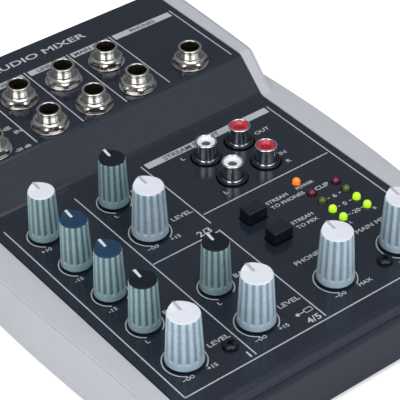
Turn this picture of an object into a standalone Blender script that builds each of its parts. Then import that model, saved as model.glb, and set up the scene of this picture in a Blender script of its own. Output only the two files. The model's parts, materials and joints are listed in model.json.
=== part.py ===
"""A small tabletop mixing console, modelled as the separate pieces it comes apart into.

Blender 4.5, metres, +Z up. The console stands on z = 0 with its front edge towards -Y, and
the origin is the centre of its footprint. A folded steel panel carries a control deck and a
raised jack deck, two plastic cheeks close its sides, and a steel tray closes it below.
"""

import math

import bmesh
import bpy
from mathutils import Matrix, Vector

# ---- driving dimensions -------------------------------------------------------------------
GAP = 0.0003                 # air left between pieces that touch
SHEET = 0.0010               # steel thickness of panel and tray

BODY_HALF_DEPTH = 0.0984     # front edge to rear edge is twice this
PANEL_HALF_WIDTH = 0.0636
CONTROL_Z = 0.0300           # top of the control deck
DECK_Z = 0.0422              # top of the jack deck
SKIRT_Z = 0.0026             # lower edge of the panel's aprons
RISER_FOOT_Y = 0.0271
RISER_TOP_Y = 0.0404
APRON_LEAN = 0.0035          # how far the front apron leans back at its foot

CHEEK_INNER_X = PANEL_HALF_WIDTH + GAP
CHEEK_BULGE_X = 0.0747       # the outline's half width at its widest point
CHEEK_BULGE_Y = 0.0025
CHEEK_BULGE_REACH = 0.0850   # from the widest point to where the side runs straight
CHEEK_END_X = 0.0714
CHEEK_UPPER_FRONT_X = 0.0682 # outer edge of the raised part at the riser's foot
CHEEK_UPPER_X = 0.0708       # and at the rear
CHEEK_HALF_DEPTH = 0.0976
CHEEK_WALL = 0.0022
CHEEK_FOOT_Z = 0.0034
CHEEK_DRAFT = 0.0008         # how far the outer face leans in at its foot

TRAY_Z = 0.0024              # underside of the tray
PAD_X = 0.0535               # raised pads that carry the board
PAD_Y = (-0.0840, 0.0285, 0.0890)
PAD_RADIUS = 0.0032
VENTS = 6
VENT_PITCH = 0.0110
VENT_WIDTH = 0.0030
VENT_LENGTH = 0.0300
VENT_LOW_Y = -0.0200
FOOT_RADIUS = 0.0055
FOOT_HOLE_RADIUS = 0.0012
FOOT_INSET_X = 0.0520
FOOT_INSET_Y = 0.0820

BOARD_Z = 0.0164             # underside of the circuit board
BOARD_THICKNESS = 0.0016
BOARD_TOP = BOARD_Z + BOARD_THICKNESS
PARTS_Z = BOARD_TOP + GAP    # where a separate part stands on the board

# ---- layout -------------------------------------------------------------------------------
CHANNEL_1_X = -0.0496
CHANNEL_2_X = -0.0197
PHONES_X = 0.0149
MAIN_X = 0.0438
ROW_1_Y = 0.0087
ROW_PITCH = 0.01967          # between the small knobs of one channel
LEVEL_PITCH = 0.0217         # from a small knob to the level knob in front of it
FRONT_ROW_Y = ROW_1_Y - 3 * ROW_PITCH - LEVEL_PITCH

# name: (x, y, large)
KNOBS = {
    "gain": (CHANNEL_1_X, ROW_1_Y, False),
    "eq_high": (CHANNEL_1_X, ROW_1_Y - ROW_PITCH, False),
    "eq_low": (CHANNEL_1_X, ROW_1_Y - 2 * ROW_PITCH, False),
    "pan": (CHANNEL_1_X, ROW_1_Y - 3 * ROW_PITCH, False),
    "level_1": (CHANNEL_1_X, FRONT_ROW_Y, True),
    "balance_23": (CHANNEL_2_X, ROW_1_Y, False),
    "level_23": (CHANNEL_2_X, ROW_1_Y - LEVEL_PITCH, True),
    "balance_45": (CHANNEL_2_X, ROW_1_Y - 3 * ROW_PITCH, False),
    "level_45": (CHANNEL_2_X, FRONT_ROW_Y, True),
    "phones": (PHONES_X, FRONT_ROW_Y, True),
    "main_mix": (MAIN_X, FRONT_ROW_Y, True),
}
SMALL_KNOB = {"foot": 0.0056, "top": 0.0049, "height": 0.0203}
LARGE_KNOB = {"foot": 0.0067, "top": 0.0057, "height": 0.0211}
KNOB_LIFT = 0.0008           # air between a knob and the panel
KNOB_FLUTES = 14
FLUTE_DEPTH = 0.0004
KNOB_NOSE = 0.0010           # rise of the cap under its pointer
SHAFT_RADIUS = 0.0030
SHAFT_TOP = CONTROL_Z + 0.0140
SHAFT_HOLE_RADIUS = 0.0037

JACK_REAR_Y = 0.0682
JACK_FRONT_Y = 0.0478
JACK_PITCH = 0.0200
JACKS = {
    "line_1": (-0.0450, JACK_FRONT_Y),
    "line_2": (-JACK_PITCH, JACK_REAR_Y),
    "line_3": (-JACK_PITCH, JACK_FRONT_Y),
    "line_4": (0.0, JACK_REAR_Y),
    "line_5": (0.0, JACK_FRONT_Y),
    "main_left": (JACK_PITCH, JACK_REAR_Y),
    "main_right": (JACK_PITCH, JACK_FRONT_Y),
    "phones": (0.0450, JACK_FRONT_Y),
}
JACK_BODY = (0.0130, 0.0116)
JACK_RIM_Z = DECK_Z + 0.0075
JACK_RIM_RADIUS = 0.00455
JACK_NECK_RADIUS = 0.00430
JACK_BORE_RADIUS = 0.00330   # takes a 6.35 mm plug
JACK_HOLE_RADIUS = 0.00475
NUT_FLATS = 0.0124
WASHER_RADIUS = 0.00715

XLR_XY = (-0.0450, 0.0712)
XLR_BODY_RADIUS = 0.0118
XLR_FLANGE_RADIUS = 0.0132
XLR_HOLE_RADIUS = 0.0122
XLR_GROOVE_RADIUS = 0.0098   # the ring groove takes the plug's shell
XLR_GROOVE_DEPTH = 0.0120
XLR_CORE_RADIUS = 0.0080
XLR_CENTRE_BORE = 0.0010
XLR_PIN_CIRCLE = 0.0049
XLR_PIN_RADIUS = 0.0013

PHONO_X = (0.02235, 0.03809)
PHONO_Y = (0.0089, -0.0067)
PHONO_RIM_Z = CONTROL_Z + 0.0076
PHONO_SHELL_RADIUS = 0.00415
PHONO_SHELL_BORE = 0.00370
PHONO_RING_RADIUS = 0.0055
PHONO_RING_HEIGHT = 0.0008
PHONO_CENTRE_BORE = 0.0016

LED_X = (0.03866, 0.04998)
LED_FIRST_Y = -0.0321
LED_PITCH = 0.00568
LED_ROWS = 4
POWER_LED_XY = (LED_X[0], -0.0234)
LED_RADIUS = 0.0015
LED_SHOULDER_Z = CONTROL_Z + 0.0008

BUTTON_X = 0.01375
BUTTONS = {"stream_phones": -0.0293, "stream_mix": -0.0434}
BUTTON_SIZE = (0.0082, 0.0057)
BUTTON_TOP = CONTROL_Z + 0.0049

SCREWS = {"left": (-0.0340, -0.0760), "right": (0.0340, -0.0760)}

USB_X = 0.0220
USB_SIZE = (0.0120, 0.0163, 0.0108)
POWER_X = -0.0120
POWER_SIZE = (0.0092, 0.0140, 0.0112)
SOCKET_MOUTH_Y = BODY_HALF_DEPTH - 0.0004

# ---- scene and mesh helpers ---------------------------------------------------------------
for old in list(bpy.data.objects):
    bpy.data.objects.remove(old)

CONSOLE = bpy.data.collections.new("mixing_console")
CUTTERS = bpy.data.collections.new("cutters")
for collection in (CONSOLE, CUTTERS):
    bpy.context.scene.collection.children.link(collection)
CUTTERS.hide_render = True


def material(name, colour, roughness, metallic=0.0):
    """A Principled BSDF finish."""
    made = bpy.data.materials.new(name)
    made.use_nodes = True
    shader = made.node_tree.nodes["Principled BSDF"]
    shader.inputs["Base Color"].default_value = (*colour, 1.0)
    shader.inputs["Roughness"].default_value = roughness
    shader.inputs["Metallic"].default_value = metallic
    return made


BLACK_STEEL = material("black_steel", (0.030, 0.032, 0.038), 0.42, 0.0)
GREY_PLASTIC = material("grey_plastic", (0.52, 0.52, 0.55), 0.45)
BLACK_PLASTIC = material("black_plastic", (0.012, 0.012, 0.014), 0.40)
KNOB_PLASTIC = material("knob_plastic", (0.33, 0.42, 0.45), 0.35)
NICKEL = material("nickel", (0.68, 0.66, 0.62), 0.16, 1.0)
STEEL = material("plated_steel", (0.60, 0.60, 0.60), 0.35, 1.0)
RUBBER = material("rubber", (0.02, 0.02, 0.02), 0.85)
BOARD_GREEN = material("board_green", (0.02, 0.12, 0.05), 0.50)
LED_CLEAR = material("led_lens", (0.45, 0.75, 0.05), 0.20)


def add_object(name, mesh, finish=None, collection=CONSOLE):
    """A named object at the origin; finish None makes it a hidden cutter."""
    obj = bpy.data.objects.new(name, mesh)
    collection.objects.link(obj)
    if finish is None:
        obj.hide_render = True
        obj.display_type = "WIRE"
    else:
        mesh.materials.append(finish)
    return obj


def mesh_from(build, name):
    """A mesh filled by build(bm)."""
    bm = bmesh.new()
    build(bm)
    bmesh.ops.recalc_face_normals(bm, faces=bm.faces)
    mesh = bpy.data.meshes.new(name)
    bm.to_mesh(mesh)
    bm.free()
    return mesh


def add_box(bm, low, high):
    """An axis-aligned block between two corners."""
    low, high = Vector(low), Vector(high)
    size = high - low
    place = Matrix.Translation((low + high) / 2) @ Matrix.Diagonal((*size, 1.0))
    bmesh.ops.create_cube(bm, size=1.0, matrix=place)


def add_rod(bm, x, y, z_low, z_high, radius, segments=16, top_radius=None, turn=0.0):
    """An upright cylinder or cone between two heights."""
    place = Matrix.Translation((x, y, (z_low + z_high) / 2)) @ Matrix.Rotation(turn, 4, "Z")
    bmesh.ops.create_cone(
        bm,
        cap_ends=True,
        segments=segments,
        radius1=radius,
        radius2=radius if top_radius is None else top_radius,
        depth=z_high - z_low,
        matrix=place,
    )


def add_rod_y(bm, x, z, y_low, y_high, radius, segments=16):
    """A cylinder that lies along Y."""
    place = Matrix.Translation((x, (y_low + y_high) / 2, z)) @ Matrix.Rotation(math.pi / 2, 4, "X")
    bmesh.ops.create_cone(
        bm, cap_ends=True, segments=segments, radius1=radius, radius2=radius,
        depth=y_high - y_low, matrix=place,
    )


def turned(name, profile, steps, finish, place):
    """A closed (radius, height) profile, outer side first and downwards, turned about Z."""
    mesh = bpy.data.meshes.new(name)
    points = [(radius, 0.0, z) for radius, z in profile]
    edges = [(i, (i + 1) % len(points)) for i in range(len(points))]
    mesh.from_pydata(points, edges, [])
    obj = add_object(name, mesh, finish)
    obj.location = (*place, 0.0)
    screw = obj.modifiers.new("turn", "SCREW")
    screw.steps = steps
    screw.render_steps = steps
    screw.use_merge_vertices = True
    screw.merge_threshold = 0.00001
    screw.use_smooth_shade = True
    return obj


def rounded(corners, radii, steps):
    """The corners of an open outline, each replaced by an arc of its radius."""
    path = [Vector(corners[0])]
    for before, corner, after, radius in zip(corners, corners[1:], corners[2:], radii):
        corner = Vector(corner)
        back = (Vector(before) - corner).normalized()
        ahead = (Vector(after) - corner).normalized()
        half = back.angle(ahead) / 2
        reach = radius / math.tan(half)
        centre = corner + (back + ahead).normalized() * radius / math.sin(half)
        start = corner + back * reach - centre
        end = corner + ahead * reach - centre
        swing = start.angle(end)
        for i in range(steps + 1):
            share = i / steps
            mixed = start * math.sin((1 - share) * swing) + end * math.sin(share * swing)
            path.append(centre + mixed / math.sin(swing))
    path.append(Vector(corners[-1]))
    return path


def boolean(obj, operation, build, name):
    """Joins to obj, or cuts from it, the shape that build(bm) makes."""
    tool = add_object(name, mesh_from(build, name), collection=CUTTERS)
    step = obj.modifiers.new(name, "BOOLEAN")
    step.operation = operation
    step.solver = "EXACT"
    step.object = tool
    return tool


def cut(obj, build, name):
    boolean(obj, "DIFFERENCE", build, name)


def join(obj, build, name):
    boolean(obj, "UNION", build, name)


def piece(name, build, finish):
    return add_object(name, mesh_from(build, name), finish)


def pivot(name, x, y, z):
    """An empty on a joint's axis, which the moving pieces are parented to."""
    empty = bpy.data.objects.new(name, None)
    empty.location = (x, y, z)
    CONSOLE.objects.link(empty)
    return empty


# ---- casing -------------------------------------------------------------------------------
def panel_holes(bm):
    """Every round hole and window in the two decks."""
    for x, y, _ in KNOBS.values():
        add_rod(bm, x, y, CONTROL_Z - 0.003, CONTROL_Z + 0.003, SHAFT_HOLE_RADIUS, 12)
    for x, y in JACKS.values():
        add_rod(bm, x, y, DECK_Z - 0.003, DECK_Z + 0.003, JACK_HOLE_RADIUS)
    add_rod(bm, *XLR_XY, DECK_Z - 0.003, DECK_Z + 0.003, XLR_HOLE_RADIUS, 32)
    for x in PHONO_X:
        for y in PHONO_Y:
            add_rod(bm, x, y, CONTROL_Z - 0.003, CONTROL_Z + 0.003, PHONO_RING_RADIUS + 0.0004)
    for x, y in led_places():
        add_rod(bm, x, y, CONTROL_Z - 0.003, CONTROL_Z + 0.003, LED_RADIUS + 0.0003, 12)
    for y in BUTTONS.values():
        reach_x = BUTTON_SIZE[0] / 2 + 0.0004
        reach_y = BUTTON_SIZE[1] / 2 + 0.0004
        low = (BUTTON_X - reach_x, y - reach_y, CONTROL_Z - 0.003)
        add_box(bm, low, (BUTTON_X + reach_x, y + reach_y, CONTROL_Z + 0.003))
    for x, y in SCREWS.values():
        add_rod(bm, x, y, CONTROL_Z - 0.003, CONTROL_Z + 0.003, 0.0018, 12)


def rear_windows(bm):
    """The two socket windows in the rear apron."""
    for x, size in ((USB_X, USB_SIZE), (POWER_X, POWER_SIZE)):
        reach = size[0] / 2 + 0.0004
        low = (x - reach, BODY_HALF_DEPTH - 0.004, PARTS_Z - 0.0004)
        add_box(bm, low, (x + reach, BODY_HALF_DEPTH + 0.002, PARTS_Z + size[2] + 0.0004))


def folded_sheet(name, path, half_width, finish, inward):
    """A sheet bent along the (y, z) path. inward is 1 when the wall lies to the path's left."""
    bm = bmesh.new()
    left, right = [[bm.verts.new((x, y, z)) for y, z in path] for x in (-half_width, half_width)]
    for i in range(len(path) - 1):
        bm.faces.new((left[i], right[i], right[i + 1], left[i + 1]))
    mesh = bpy.data.meshes.new(name)
    bm.to_mesh(mesh)
    bm.free()
    sheet = add_object(name, mesh, finish)
    wall = sheet.modifiers.new("sheet", "SOLIDIFY")
    wall.thickness = SHEET
    wall.offset = inward
    wall.use_even_offset = True
    return sheet


def top_panel():
    """One folded sheet: front apron, control deck, riser, jack deck and rear apron."""
    corners = [
        (-BODY_HALF_DEPTH + APRON_LEAN, SKIRT_Z),
        (-BODY_HALF_DEPTH, CONTROL_Z),
        (RISER_FOOT_Y, CONTROL_Z),
        (RISER_TOP_Y, DECK_Z),
        (BODY_HALF_DEPTH, DECK_Z),
        (BODY_HALF_DEPTH, SKIRT_Z),
    ]
    path = rounded(corners, (0.0042, 0.0035, 0.0035, 0.0020), 5)
    panel = folded_sheet("top_panel", path, PANEL_HALF_WIDTH, BLACK_STEEL, -1.0)
    cut(panel, panel_holes, "panel_holes")
    cut(panel, rear_windows, "rear_windows")


def base_tray():
    """The steel floor, with turned-up lips and raised pads that carry the board."""
    front_y = -BODY_HALF_DEPTH + APRON_LEAN + SHEET + 0.0010
    rear_y = BODY_HALF_DEPTH - SHEET - 0.0006
    lip_z = TRAY_Z + 0.0090
    corners = [(front_y, lip_z), (front_y, TRAY_Z), (rear_y, TRAY_Z), (rear_y, lip_z)]
    path = rounded(corners, (0.0015, 0.0015), 3)
    tray = folded_sheet("base_tray", path, PANEL_HALF_WIDTH - 0.0006, STEEL, 1.0)

    def pads(bm):
        for x in (-PAD_X, PAD_X):
            for y in PAD_Y:
                add_rod(bm, x, y, TRAY_Z + SHEET / 2, BOARD_Z - GAP, PAD_RADIUS, 12)

    def vents(bm):
        for i in range(VENTS):
            x = (i - (VENTS - 1) / 2) * VENT_PITCH
            low = (x - VENT_WIDTH / 2, VENT_LOW_Y, TRAY_Z - 0.002)
            add_box(bm, low, (x + VENT_WIDTH / 2, VENT_LOW_Y + VENT_LENGTH, TRAY_Z + 0.003))

    join(tray, pads, "tray_pads")
    cut(tray, vents, "tray_vents")


def bulged_x(y):
    """The cheek's outer edge in plan: a raised-cosine swell on a straight side."""
    swing = min(abs(y - CHEEK_BULGE_Y) / CHEEK_BULGE_REACH, 1.0) * math.pi
    return CHEEK_END_X + (CHEEK_BULGE_X - CHEEK_END_X) * (1 + math.cos(swing)) / 2


def upper_x(y):
    """The outer edge of the cheek's raised part, which narrows towards the riser's foot."""
    share = min((y - RISER_FOOT_Y) / (0.6 * CHEEK_HALF_DEPTH), 1.0)
    return CHEEK_UPPER_FRONT_X + (CHEEK_UPPER_X - CHEEK_UPPER_FRONT_X) * math.sqrt(share)


def raised_z(y):
    """The top of the cheek's raised part, which follows the panel's riser."""
    share = (y - RISER_FOOT_Y) / (RISER_TOP_Y - RISER_FOOT_Y)
    return CONTROL_Z + (DECK_Z - CONTROL_Z) * min(share, 1.0)


def loft_y(bm, stations):
    """A solid through four-sided sections: (y, inner x, foot's outer x, outer x, low z, high z)."""
    rings = []
    for y, inner, foot, outer, low, high in stations:
        corners = ((inner, low), (foot, low), (outer, high), (inner, high))
        rings.append([bm.verts.new((x, y, z)) for x, z in corners])
    for near, far in zip(rings, rings[1:]):
        for i in range(4):
            j = (i + 1) % 4
            bm.faces.new((near[i], near[j], far[j], far[i]))
    bm.faces.new(list(reversed(rings[0])))
    bm.faces.new(rings[-1])


def spread(low, high, count):
    """Evenly spaced values from low to high."""
    return [low + (high - low) * i / (count - 1) for i in range(count)]


def cheek(name, side):
    """A moulded plastic shell that is open towards the casing. side is -1 on the left."""

    def sided(stations):
        def build(bm):
            loft_y(bm, stations)
            bmesh.ops.scale(bm, vec=(side, 1.0, 1.0), verts=bm.verts)

        return build

    def lower(wall):
        inner = CHEEK_INNER_X - (0.002 if wall else 0.0)
        reach = CHEEK_HALF_DEPTH - wall
        foot_z, top_z = CHEEK_FOOT_Z + wall, CONTROL_Z - wall
        stations = []
        for y in spread(-reach, reach, 15):
            outer = bulged_x(y) - wall
            stations.append((y, inner, outer - CHEEK_DRAFT, outer, foot_z, top_z))
        return stations

    def raised(wall):
        inner = CHEEK_INNER_X - (0.002 if wall else 0.0)
        low_z = CONTROL_Z - 0.005 - wall
        riser = spread(RISER_FOOT_Y, RISER_TOP_Y, 4)
        deck = spread(RISER_TOP_Y, CHEEK_HALF_DEPTH, 5)[1:]
        stations = []
        for y in riser + deck:
            outer = upper_x(y) - wall
            inset_y = min(y + wall, CHEEK_HALF_DEPTH - wall)
            stations.append((inset_y, inner, outer, outer, low_z, raised_z(y) - wall))
        return stations

    shell = piece(name, sided(lower(0.0)), GREY_PLASTIC)
    join(shell, sided(raised(0.0)), name + "_raised")
    cut(shell, sided(lower(CHEEK_WALL)), name + "_hollow")
    cut(shell, sided(raised(CHEEK_WALL)), name + "_raised_hollow")
    edges = shell.modifiers.new("edges", "BEVEL")
    edges.width = 0.0005
    edges.segments = 1
    edges.limit_method = "ANGLE"
    edges.angle_limit = math.radians(50)


def feet():
    """Four stuck-on rubber pads with a moulding recess in the middle."""
    profile = (
        (FOOT_RADIUS, TRAY_Z - GAP),
        (FOOT_RADIUS, 0.0006),
        (FOOT_RADIUS - 0.0006, 0.0),
        (FOOT_HOLE_RADIUS, 0.0),
        (FOOT_HOLE_RADIUS, TRAY_Z - GAP),
    )
    for front, y in (("front", -FOOT_INSET_Y), ("rear", FOOT_INSET_Y)):
        for hand, x in (("left", -FOOT_INSET_X), ("right", FOOT_INSET_X)):
            turned(f"foot_{front}_{hand}", profile, 20, RUBBER, (x, y))


# ---- electronics --------------------------------------------------------------------------
def pot_housings(bm):
    """The housing of each rotary control, soldered to the board."""
    for x, y, _ in KNOBS.values():
        add_box(bm, (x - 0.0049, y - 0.0058, BOARD_TOP - 0.0004), (x + 0.0049, y + 0.0052, 0.0246))


def pot_bushings(bm):
    """The round bearing on top of each housing."""
    for x, y, _ in KNOBS.values():
        add_rod(bm, x, y, 0.0240, 0.0275, 0.0045)


def board_posts(bm):
    """Switch housings and the two posts that take the panel screws."""
    for y in BUTTONS.values():
        low = (BUTTON_X - 0.0040, y - 0.0040, BOARD_TOP - 0.0004)
        add_box(bm, low, (BUTTON_X + 0.0040, y + 0.0040, 0.0252))
    for x, y in SCREWS.values():
        add_rod(bm, x, y, BOARD_TOP - 0.0004, CONTROL_Z - SHEET - GAP, 0.0031, 6)


def board_bores(bm):
    """The bearings' bores, the switches' slots and the screw holes."""
    for x, y, _ in KNOBS.values():
        add_rod(bm, x, y, BOARD_TOP + 0.0002, 0.0290, SHAFT_RADIUS + 0.0003)
    for y in BUTTONS.values():
        reach = 0.0018
        low = (BUTTON_X - reach, y - reach, BOARD_TOP + 0.0002)
        add_box(bm, low, (BUTTON_X + reach, y + reach, 0.0270))
    for x, y in SCREWS.values():
        add_rod(bm, x, y, BOARD_TOP + 0.0010, CONTROL_Z, 0.0018, 12)


def main_board():
    """The circuit board with the housings that are soldered to it."""
    low = (-0.0600, -0.0890, BOARD_Z)
    high = (0.0600, 0.0940, BOARD_TOP)
    board = piece("main_board", lambda bm: add_box(bm, low, high), BOARD_GREEN)
    join(board, pot_housings, "pot_housings")
    join(board, pot_bushings, "pot_bushings")
    join(board, board_posts, "board_posts")
    cut(board, board_bores, "board_bores")


def led_places():
    """The centre of the power lamp and of the two columns of meter lamps."""
    meter = [(x, LED_FIRST_Y - LED_PITCH * i) for x in LED_X for i in range(LED_ROWS)]
    return [POWER_LED_XY] + meter


def led_array():
    """Nine lamps in the spacer that holds them under their holes."""
    margin = 0.0026
    low = (LED_X[0] - margin, LED_FIRST_Y - LED_PITCH * (LED_ROWS - 1) - margin, PARTS_Z)
    high = (LED_X[1] + margin, POWER_LED_XY[1] + margin, 0.0262)
    array = piece("led_array", lambda bm: add_box(bm, low, high), LED_CLEAR)

    def barrels(bm):
        for x, y in led_places():
            add_rod(bm, x, y, 0.0255, LED_SHOULDER_Z, LED_RADIUS, 10)

    def domes(bm):
        for x, y in led_places():
            place = Matrix.Translation((x, y, LED_SHOULDER_Z))
            radius = LED_RADIUS - 0.00002
            bmesh.ops.create_uvsphere(bm, u_segments=10, v_segments=5, radius=radius, matrix=place)

    join(array, barrels, "lamp_barrels")
    join(array, domes, "lamp_domes")


# ---- sockets ------------------------------------------------------------------------------
def jack(name, x, y):
    """A 6.35 mm jack: square body under the deck, threaded neck through it, plated rim."""
    half_x, half_y = JACK_BODY[0] / 2, JACK_BODY[1] / 2
    top = DECK_Z - SHEET - GAP

    def body(bm):
        add_box(bm, (x - half_x, y - half_y, PARTS_Z), (x + half_x, y + half_y, top))

    def neck(bm):
        add_rod(bm, x, y, top - 0.0005, JACK_RIM_Z - 0.0011, JACK_NECK_RADIUS)

    def rim(bm):
        add_rod(bm, x, y, JACK_RIM_Z - 0.0012, JACK_RIM_Z, JACK_RIM_RADIUS)

    def bore(bm):
        add_rod(bm, x, y, PARTS_Z + 0.0020, JACK_RIM_Z + 0.0010, JACK_BORE_RADIUS)

    socket = piece(f"jack_{name}", body, NICKEL)
    join(socket, neck, f"neck_{name}")
    join(socket, rim, f"rim_{name}")
    cut(socket, bore, f"bore_{name}")


def jack_nut(name, x, y):
    """The washer-faced hex nut that clamps a jack to the deck."""
    low = DECK_Z + GAP
    corner = NUT_FLATS / 2 / math.cos(math.pi / 6)

    def washer(bm):
        add_rod(bm, x, y, low, low + 0.0006, WASHER_RADIUS, 24)

    def hexagon(bm):
        add_rod(bm, x, y, low + 0.0005, low + 0.0026, corner, 6, turn=math.radians(12))

    def bore(bm):
        add_rod(bm, x, y, low - 0.001, low + 0.005, JACK_RIM_RADIUS + 0.0003)

    nut = piece(f"nut_{name}", washer, NICKEL)
    join(nut, hexagon, f"hexagon_{name}")
    cut(nut, bore, f"nut_bore_{name}")


def xlr_socket():
    """A three-pole microphone socket: flanged housing, ring groove and pin holes."""
    face_z = DECK_Z + 0.0022
    profile = (
        (XLR_FLANGE_RADIUS - 0.0006, face_z),
        (XLR_FLANGE_RADIUS, face_z - 0.0006),
        (XLR_FLANGE_RADIUS, DECK_Z + GAP),
        (XLR_BODY_RADIUS, DECK_Z + GAP),
        (XLR_BODY_RADIUS, PARTS_Z),
        (XLR_CENTRE_BORE, PARTS_Z),
        (XLR_CENTRE_BORE, face_z - 0.0010),
        (XLR_CORE_RADIUS, face_z - 0.0010),
        (XLR_CORE_RADIUS, face_z - XLR_GROOVE_DEPTH),
        (XLR_GROOVE_RADIUS, face_z - XLR_GROOVE_DEPTH),
        (XLR_GROOVE_RADIUS, face_z),
    )
    socket = turned("xlr_socket", profile, 24, BLACK_PLASTIC, XLR_XY)

    def pins(bm):
        for turn in (90, 210, 330):
            angle = math.radians(turn)
            x = XLR_XY[0] + XLR_PIN_CIRCLE * math.cos(angle)
            y = XLR_XY[1] + XLR_PIN_CIRCLE * math.sin(angle)
            add_rod(bm, x, y, face_z - 0.0090, face_z + 0.001, XLR_PIN_RADIUS, 10)

    cut(socket, pins, "xlr_pin_holes")


def phono_block():
    """The moulded block under the four phono sockets, with their rings and insulators."""
    centre_x, centre_y = sum(PHONO_X) / 2, sum(PHONO_Y) / 2
    top = CONTROL_Z - SHEET - GAP
    low = (centre_x - 0.0145, centre_y - 0.0140, PARTS_Z)
    high = (centre_x + 0.0145, centre_y + 0.0140, top)
    block = piece("phono_block", lambda bm: add_box(bm, low, high), BLACK_PLASTIC)

    def rings(bm):
        for x in PHONO_X:
            for y in PHONO_Y:
                add_rod(bm, x, y, top - 0.0005, CONTROL_Z + PHONO_RING_HEIGHT, PHONO_RING_RADIUS)

    def insulators(bm):
        for x in PHONO_X:
            for y in PHONO_Y:
                add_rod(bm, x, y, CONTROL_Z + 0.0004, PHONO_RIM_Z - 0.0003, PHONO_SHELL_BORE - GAP)

    def bores(bm):
        for x in PHONO_X:
            for y in PHONO_Y:
                add_rod(bm, x, y, PARTS_Z + 0.003, PHONO_RIM_Z + 0.001, PHONO_CENTRE_BORE, 12)

    join(block, rings, "phono_rings")
    join(block, insulators, "phono_insulators")
    cut(block, bores, "phono_bores")


def phono_shells():
    """The plated outer contact of each phono socket, with a lip at its mouth."""
    low = CONTROL_Z + PHONO_RING_HEIGHT + GAP
    lip_z = PHONO_RIM_Z - 0.0009
    profile = (
        (PHONO_SHELL_RADIUS, PHONO_RIM_Z),
        (PHONO_SHELL_RADIUS, lip_z),
        (PHONO_SHELL_RADIUS - 0.0001, lip_z - 0.0001),
        (PHONO_SHELL_RADIUS - 0.0001, low),
        (PHONO_SHELL_BORE, low),
        (PHONO_SHELL_BORE, PHONO_RIM_Z),
    )
    for row, y in zip(("out", "in"), PHONO_Y):
        for hand, x in zip(("left", "right"), PHONO_X):
            turned(f"phono_shell_{row}_{hand}", profile, 20, NICKEL, (x, y))


def usb_socket():
    """A square data socket whose mouth is flush with the rear apron."""
    width, depth, height = USB_SIZE
    low = (USB_X - width / 2, SOCKET_MOUTH_Y - depth, PARTS_Z)
    high = (USB_X + width / 2, SOCKET_MOUTH_Y, PARTS_Z + height)
    socket = piece("usb_socket", lambda bm: add_box(bm, low, high), STEEL)
    middle_z = PARTS_Z + height / 2

    def mouth(bm):
        low_corner = (USB_X - 0.0043, SOCKET_MOUTH_Y - 0.0090, middle_z - 0.0040)
        add_box(bm, low_corner, (USB_X + 0.0043, SOCKET_MOUTH_Y + 0.001, middle_z + 0.0040))

    def tongue(bm):
        low_corner = (USB_X - 0.0028, SOCKET_MOUTH_Y - 0.0095, middle_z - 0.0016)
        add_box(bm, low_corner, (USB_X + 0.0028, SOCKET_MOUTH_Y - 0.0010, middle_z + 0.0016))

    cut(socket, mouth, "usb_mouth")
    join(socket, tongue, "usb_tongue")


def power_inlet():
    """A barrel inlet with its centre pin."""
    width, depth, height = POWER_SIZE
    low = (POWER_X - width / 2, SOCKET_MOUTH_Y - depth, PARTS_Z)
    high = (POWER_X + width / 2, SOCKET_MOUTH_Y, PARTS_Z + height)
    inlet = piece("power_inlet", lambda bm: add_box(bm, low, high), BLACK_PLASTIC)
    middle_z = PARTS_Z + height / 2

    def barrel(bm):
        add_rod_y(bm, POWER_X, middle_z, SOCKET_MOUTH_Y - 0.0095, SOCKET_MOUTH_Y + 0.001, 0.0031)

    def pin(bm):
        add_rod_y(bm, POWER_X, middle_z, SOCKET_MOUTH_Y - 0.0100, SOCKET_MOUTH_Y - 0.0010, 0.0010, 12)

    cut(inlet, barrel, "inlet_barrel")
    join(inlet, pin, "inlet_pin")


# ---- controls -----------------------------------------------------------------------------
def fluted_ring(radius, depth, z):
    """Points round a fluted section, on a ridge and in a groove by turns."""
    ring = []
    for i in range(2 * KNOB_FLUTES):
        angle = math.pi * (i + 0.5) / KNOB_FLUTES
        reach = radius - depth * (i % 2)
        ring.append((reach * math.cos(angle), reach * math.sin(angle), z))
    return ring


def knob_body(bm, shape):
    """A tapered, fluted knob with a plain foot and a cap that rises under its pointer."""
    foot, top, height = shape["foot"], shape["top"], shape["height"]
    sections = (
        (foot, 0.0, KNOB_LIFT),
        (foot * 0.985, 0.0, KNOB_LIFT + 0.0024),
        (foot * 0.975, FLUTE_DEPTH, KNOB_LIFT + 0.0030),
        (top, FLUTE_DEPTH, height - 0.0012),
        (top * 0.90, 0.0, height),
    )
    rings = [[bm.verts.new(p) for p in fluted_ring(*section)] for section in sections]
    count = len(rings[0])
    for low, high in zip(rings, rings[1:]):
        for i in range(count):
            j = (i + 1) % count
            bm.faces.new((low[i], low[j], high[j], high[i]))
    bm.faces.new(list(reversed(rings[0])))
    rim = rings[-1]
    for vertex in rim:
        vertex.co.z += KNOB_NOSE * max(0.0, vertex.co.y / (top * 0.90)) ** 4
    middle = bm.verts.new((0.0, 0.0, height))
    for i in range(count):
        bm.faces.new((rim[i], rim[(i + 1) % count], middle))


def rotary_control(name, x, y, large):
    """A knob on the shaft that it turns, both about an empty on the shaft's axis."""
    shape = LARGE_KNOB if large else SMALL_KNOB
    axis = pivot(f"axis_{name}", x, y, CONTROL_Z)
    knob = piece(f"knob_{name}", lambda bm: knob_body(bm, shape), KNOB_PLASTIC)

    def bore(bm):
        add_rod(bm, 0.0, 0.0, -0.001, SHAFT_TOP - CONTROL_Z + GAP, SHAFT_RADIUS + 0.00035, 12)

    cutter_name = f"knob_bore_{name}"
    tool = boolean(knob, "DIFFERENCE", bore, cutter_name)
    shaft_low = PARTS_Z + 0.0003 - CONTROL_Z
    shaft_high = SHAFT_TOP - CONTROL_Z

    def rod(bm):
        add_rod(bm, 0.0, 0.0, shaft_low, shaft_high, SHAFT_RADIUS, 12)

    shaft = piece(f"shaft_{name}", rod, STEEL)
    for obj in (knob, shaft, tool):
        obj.parent = axis


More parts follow.
